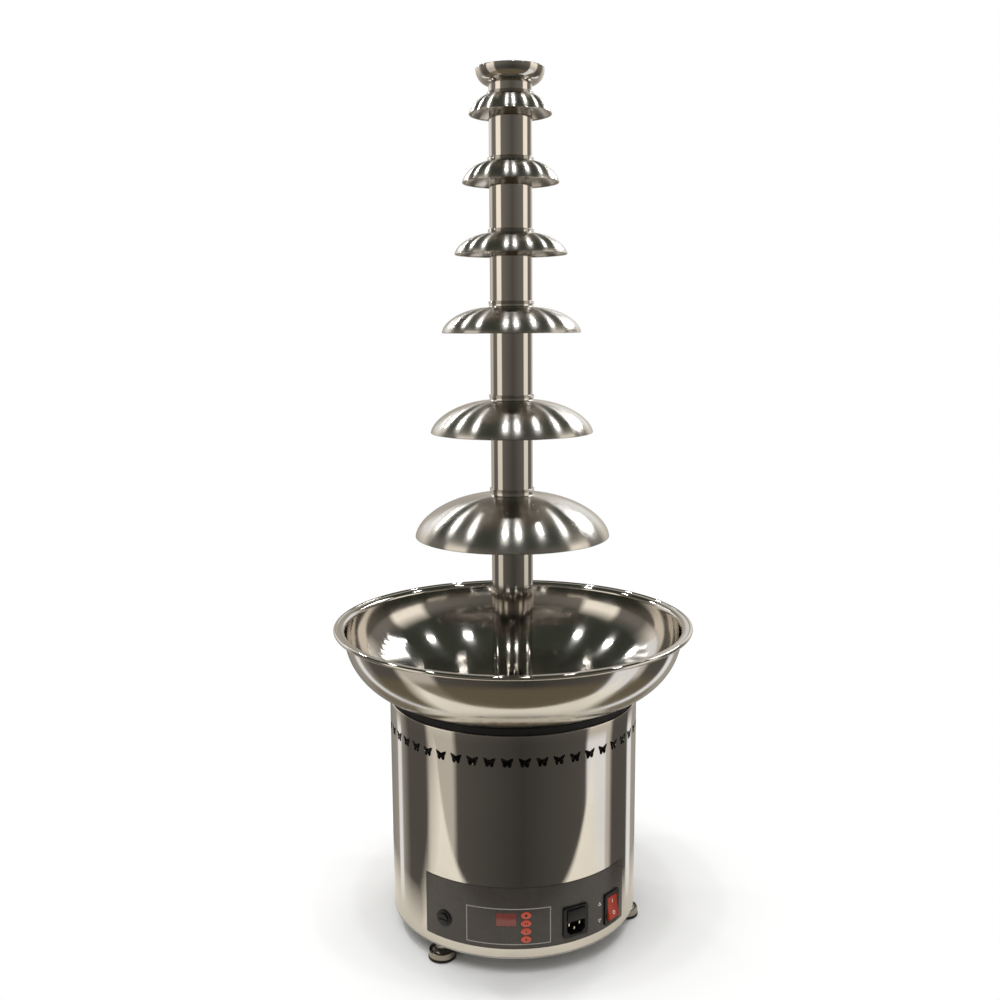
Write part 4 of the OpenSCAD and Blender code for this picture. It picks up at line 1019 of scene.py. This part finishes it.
TENT_R = 20.0
TENT_TINT = (1.08, 1.0, 0.88)
TENT_GROUND = (0.18, 0.145, 0.09, 1)
TENT_CEILING = (0.046, 0.053, 0.040, 1)
# Cloth of the tent, alike on both sides: turn from the part's front and brightness
TENT_CLOTH = [
    (0, 0.05), (60, 0.10), (65, 0.60), (90, 0.60), (95, 0.10), (120, 0.10), (135, 0.40), (180, 0.20),
]
# Sine of the height over which the cloth gets brighter, and how many times as bright it is above
CLOTH_RISE = (-0.30, 0.10)
CLOTH_GAIN = 2.0
# Sine of the height at which the ceiling and the ground take over from the cloth
CEILING_FROM = (0.30, 0.55)
GROUND_TO = (-0.60, -0.50)
GROUND_SHARE = 0.8
# Openings of the tent: turn from the part's front, half width, sine of the height, half height
TENT_OPENINGS = [
    (-139, 6, -0.62, 0.34), (74, 13, -0.62, 0.34), (128, 7, -0.62, 0.34),
    (-151, 14, 0.31, 0.17), (151, 14, 0.31, 0.16),
]
OPENING_SOFT = (3.0, 0.06)

LAMP_AIM = Vector((0, 0, 0.7))
LAMP_REACH = 3.0
# Watts for each square metre and each unit of brightness
LAMP_POWER = 4
# Lamps above the object: turn from the part's front, height, width, depth, brightness
SPOTS = [
    (-152, 30, 0.19, 0.19, 44.0), (-137, 45, 0.19, 0.19, 50.0), (-112, 60, 0.19, 0.19, 56.0),
    (-42, 80, 0.19, 0.19, 58.0), (21, 80, 0.19, 0.19, 58.0), (98, 70, 0.19, 0.19, 58.0),
    (108, 52, 0.19, 0.19, 54.0),
]
# Narrow panes of two windows: turns, then the height, width, depth and brightness of each
PANE_ROWS = [
    ((-146, -156, -166), (24, 0.14, 0.6, 2.0)),
    ((114, 121, 128, 135, 142), (29, 0.13, 0.85, 7.0)),
]
OVERHEAD = Vector((-0.5, -0.6, 2.4))
OVERHEAD_AIM = Vector((0, 0, 0.2))
OVERHEAD_SIZE = 2.0
OVERHEAD_LEVEL = 2.1


def studio_floor():
    """Pale floor that fades into the white background, sooner for what the steel mirrors."""
    clear_selection()
    place = (0, 0, FLOOR_Z)
    bpy.ops.mesh.primitive_circle_add(vertices=96, radius=FLOOR_R, fill_type="NGON", location=place)
    floor = bpy.context.object
    floor.name = "studio_floor"
    f = Finish("studio_floor", FLOOR_COLOUR, 0.0, 0.9)
    x, y, _ = f.axes(f.place)
    reach = f.reach(x, y)
    # In the steel the floor ends at a straight front edge, and close to the object at the sides and behind
    side, ahead = math.sin(CAMERA_ANGLE), math.cos(CAMERA_ANGLE)
    front = f.maths("SUBTRACT", f.maths("MULTIPLY", x, side), f.maths("MULTIPLY", y, ahead))
    across = f.maths("ADD", f.maths("MULTIPLY", x, ahead), f.maths("MULTIPLY", y, side))
    aside = f.maths("ABSOLUTE", f.maths("ARCTAN2", across, front))
    strip = f.maths("MAXIMUM", f.rise(front, *FRONT_EDGE), f.rise(aside, *SIDE_TURN))
    mirrored = f.maths("MINIMUM", strip, f.rise(reach, *FADE_IN_STEEL))
    in_steel = f.nodes.new("ShaderNodeLightPath").outputs["Is Glossy Ray"]
    f.plug(f.blend(in_steel, (*FLOOR_COLOUR, 1), (*FLOOR_IN_STEEL, 1)), "Base Color")
    fade = f.blend(in_steel, f.rise(reach, *FADE_SEEN), mirrored, "FLOAT")
    f.see_through(fade, f.shader.outputs["BSDF"])
    floor.data.materials.append(f.material)


def tent_cloth(f, share, gain):
    return f.ramp(share, *[(turn / 180, shade(TENT_TINT, gain * level)) for turn, level in TENT_CLOTH])


def tent_gap(f, turn, z, middle, half, level, tall):
    """1 inside one opening of the tent, with soft edges."""
    side = f.maths("SUBTRACT", half, f.maths("ABSOLUTE", f.maths("SUBTRACT", turn, middle)))
    up = f.maths("SUBTRACT", tall, f.maths("ABSOLUTE", f.maths("SUBTRACT", z, level)))
    return f.maths("MULTIPLY", f.rise(side, 0.0, OPENING_SOFT[0]), f.rise(up, 0.0, OPENING_SOFT[1]))


def studio_tent():
    """Dark tent whose openings show the white background; only the gloss of the object sees it."""
    clear_selection()
    bpy.ops.mesh.primitive_uv_sphere_add(segments=64, ring_count=32, radius=TENT_R, location=(0, 0, 0))
    tent = bpy.context.object
    tent.name = "studio_tent"
    f = Finish("studio_tent", (0.05, 0.05, 0.05))
    way = f.nodes.new("ShaderNodeVectorMath")
    way.operation = "NORMALIZE"
    f.links.new(f.place, way.inputs[0])
    x, y, z = f.axes(way.outputs["Vector"])
    turn = f.maths("DEGREES", f.maths("ARCTAN2", x, f.maths("MULTIPLY", y, -1.0)))
    share = f.rise(f.maths("ABSOLUTE", turn), 0.0, 180.0)
    room = f.blend(f.rise(z, *CLOTH_RISE), tent_cloth(f, share, 1.0), tent_cloth(f, share, CLOTH_GAIN))
    room = f.blend(f.rise(z, *CEILING_FROM), room, TENT_CEILING)
    room = f.blend(f.between(z, GROUND_SHARE, 0.0, *GROUND_TO), room, TENT_GROUND)
    opening = tent_gap(f, turn, z, *TENT_OPENINGS[0])
    for more in TENT_OPENINGS[1:]:
        opening = f.maths("MAXIMUM", opening, tent_gap(f, turn, z, *more))
    glow = f.nodes.new("ShaderNodeEmission")
    f.links.new(room, glow.inputs["Color"])
    f.see_through(opening, glow.outputs["Emission"])
    f.material.cycles.emission_sampling = "NONE"
    tent.data.materials.append(f.material)
    tent.visible_camera = False
    tent.visible_diffuse = False
    tent.visible_transmission = False
    tent.visible_shadow = False


def studio_world():
    """White background to the camera and in the gloss of the object, an even soft light to all else."""
    world = bpy.data.worlds.new("studio")
    bpy.context.scene.world = world
    world.use_nodes = True
    world.cycles.sampling_method = "NONE"
    nodes = world.node_tree.nodes
    links = world.node_tree.links
    white = nodes["Background"]
    soft = nodes.new("ShaderNodeBackground")
    for light, strength in ((white, 1.0), (soft, 0.5)):
        light.inputs["Color"].default_value = (1, 1, 1, 1)
        light.inputs["Strength"].default_value = strength
    path = nodes.new("ShaderNodeLightPath")
    seen = path.outputs["Is Camera Ray"]
    for ray in ("Is Glossy Ray", "Is Transmission Ray"):
        either = nodes.new("ShaderNodeMath")
        either.operation = "MAXIMUM"
        links.new(seen, either.inputs[0])
        links.new(path.outputs[ray], either.inputs[1])
        seen = either.outputs["Value"]
    view = nodes.new("ShaderNodeMixShader")
    links.new(seen, view.inputs["Fac"])
    links.new(soft.outputs["Background"], view.inputs[1])
    links.new(white.outputs["Background"], view.inputs[2])
    links.new(view.outputs["Shader"], nodes["World Output"].inputs["Surface"])


def lamp(name, place, aim, wide, deep, brightness):
    """Round or rectangular lamp that shines at a point."""
    clear_selection()
    bpy.ops.object.light_add(type="AREA", location=place)
    light = bpy.context.object
    light.name = name
    light.data.shape = "ELLIPSE" if wide == deep else "RECTANGLE"
    light.data.size = wide
    light.data.size_y = deep
    light.data.energy = LAMP_POWER * wide * deep * brightness
    light.rotation_euler = (aim - place).to_track_quat("-Z", "Y").to_euler()
    light.visible_camera = False
    return light


def studio_lamps():
    panes = [(turn, *pane) for turns, pane in PANE_ROWS for turn in turns]
    for number, (turn, height, wide, deep, brightness) in enumerate(SPOTS + panes, 1):
        a = math.radians(turn)
        h = math.radians(height)
        way = Vector((math.cos(h) * math.sin(a), -math.cos(h) * math.cos(a), math.sin(h)))
        lamp("spot_%d" % number, LAMP_AIM + LAMP_REACH * way, LAMP_AIM, wide, deep, brightness)
    overhead = lamp("overhead", OVERHEAD, OVERHEAD_AIM, OVERHEAD_SIZE, OVERHEAD_SIZE, OVERHEAD_LEVEL)
    overhead.data.shape = "SQUARE"
    overhead.visible_glossy = False


def camera():
    right = Vector((math.cos(CAMERA_ANGLE), math.sin(CAMERA_ANGLE), 0))
    back = Vector((math.sin(CAMERA_ANGLE), -math.cos(CAMERA_ANGLE), 0))
    data = bpy.data.cameras.new("camera")
    data.lens = CAMERA_LENS
    data.sensor_width = 36
    data.clip_start = 0.05
    view = bpy.data.objects.new("camera", data)
    bpy.context.scene.collection.objects.link(view)
    view.rotation_mode = "QUATERNION"
    upright = Quaternion((0, 0, 1), CAMERA_ANGLE) @ Quaternion((1, 0, 0), math.radians(90 - CAMERA_TILT))
    view.rotation_quaternion = upright @ Quaternion((0, 0, 1), math.radians(-CAMERA_ROLL))
    view.location = back * CAMERA_REACH - right * CAMERA_ASIDE + Vector((0, 0, CAMERA_Z))
    bpy.context.scene.camera = view


# The object, piece by piece
housing()
ring_seal()
basin()
for level in range(len(DOMES)):
    dome(level)
    tube(level)
crown()
auger()
panel()
panel_print()
display()
keys()
mains_parts()
rocker_marks()
feet()
inner_pieces()

# The studio round it
studio_floor()
studio_tent()
studio_world()
studio_lamps()
camera()
bpy.context.scene.view_settings.view_transform = "Standard"
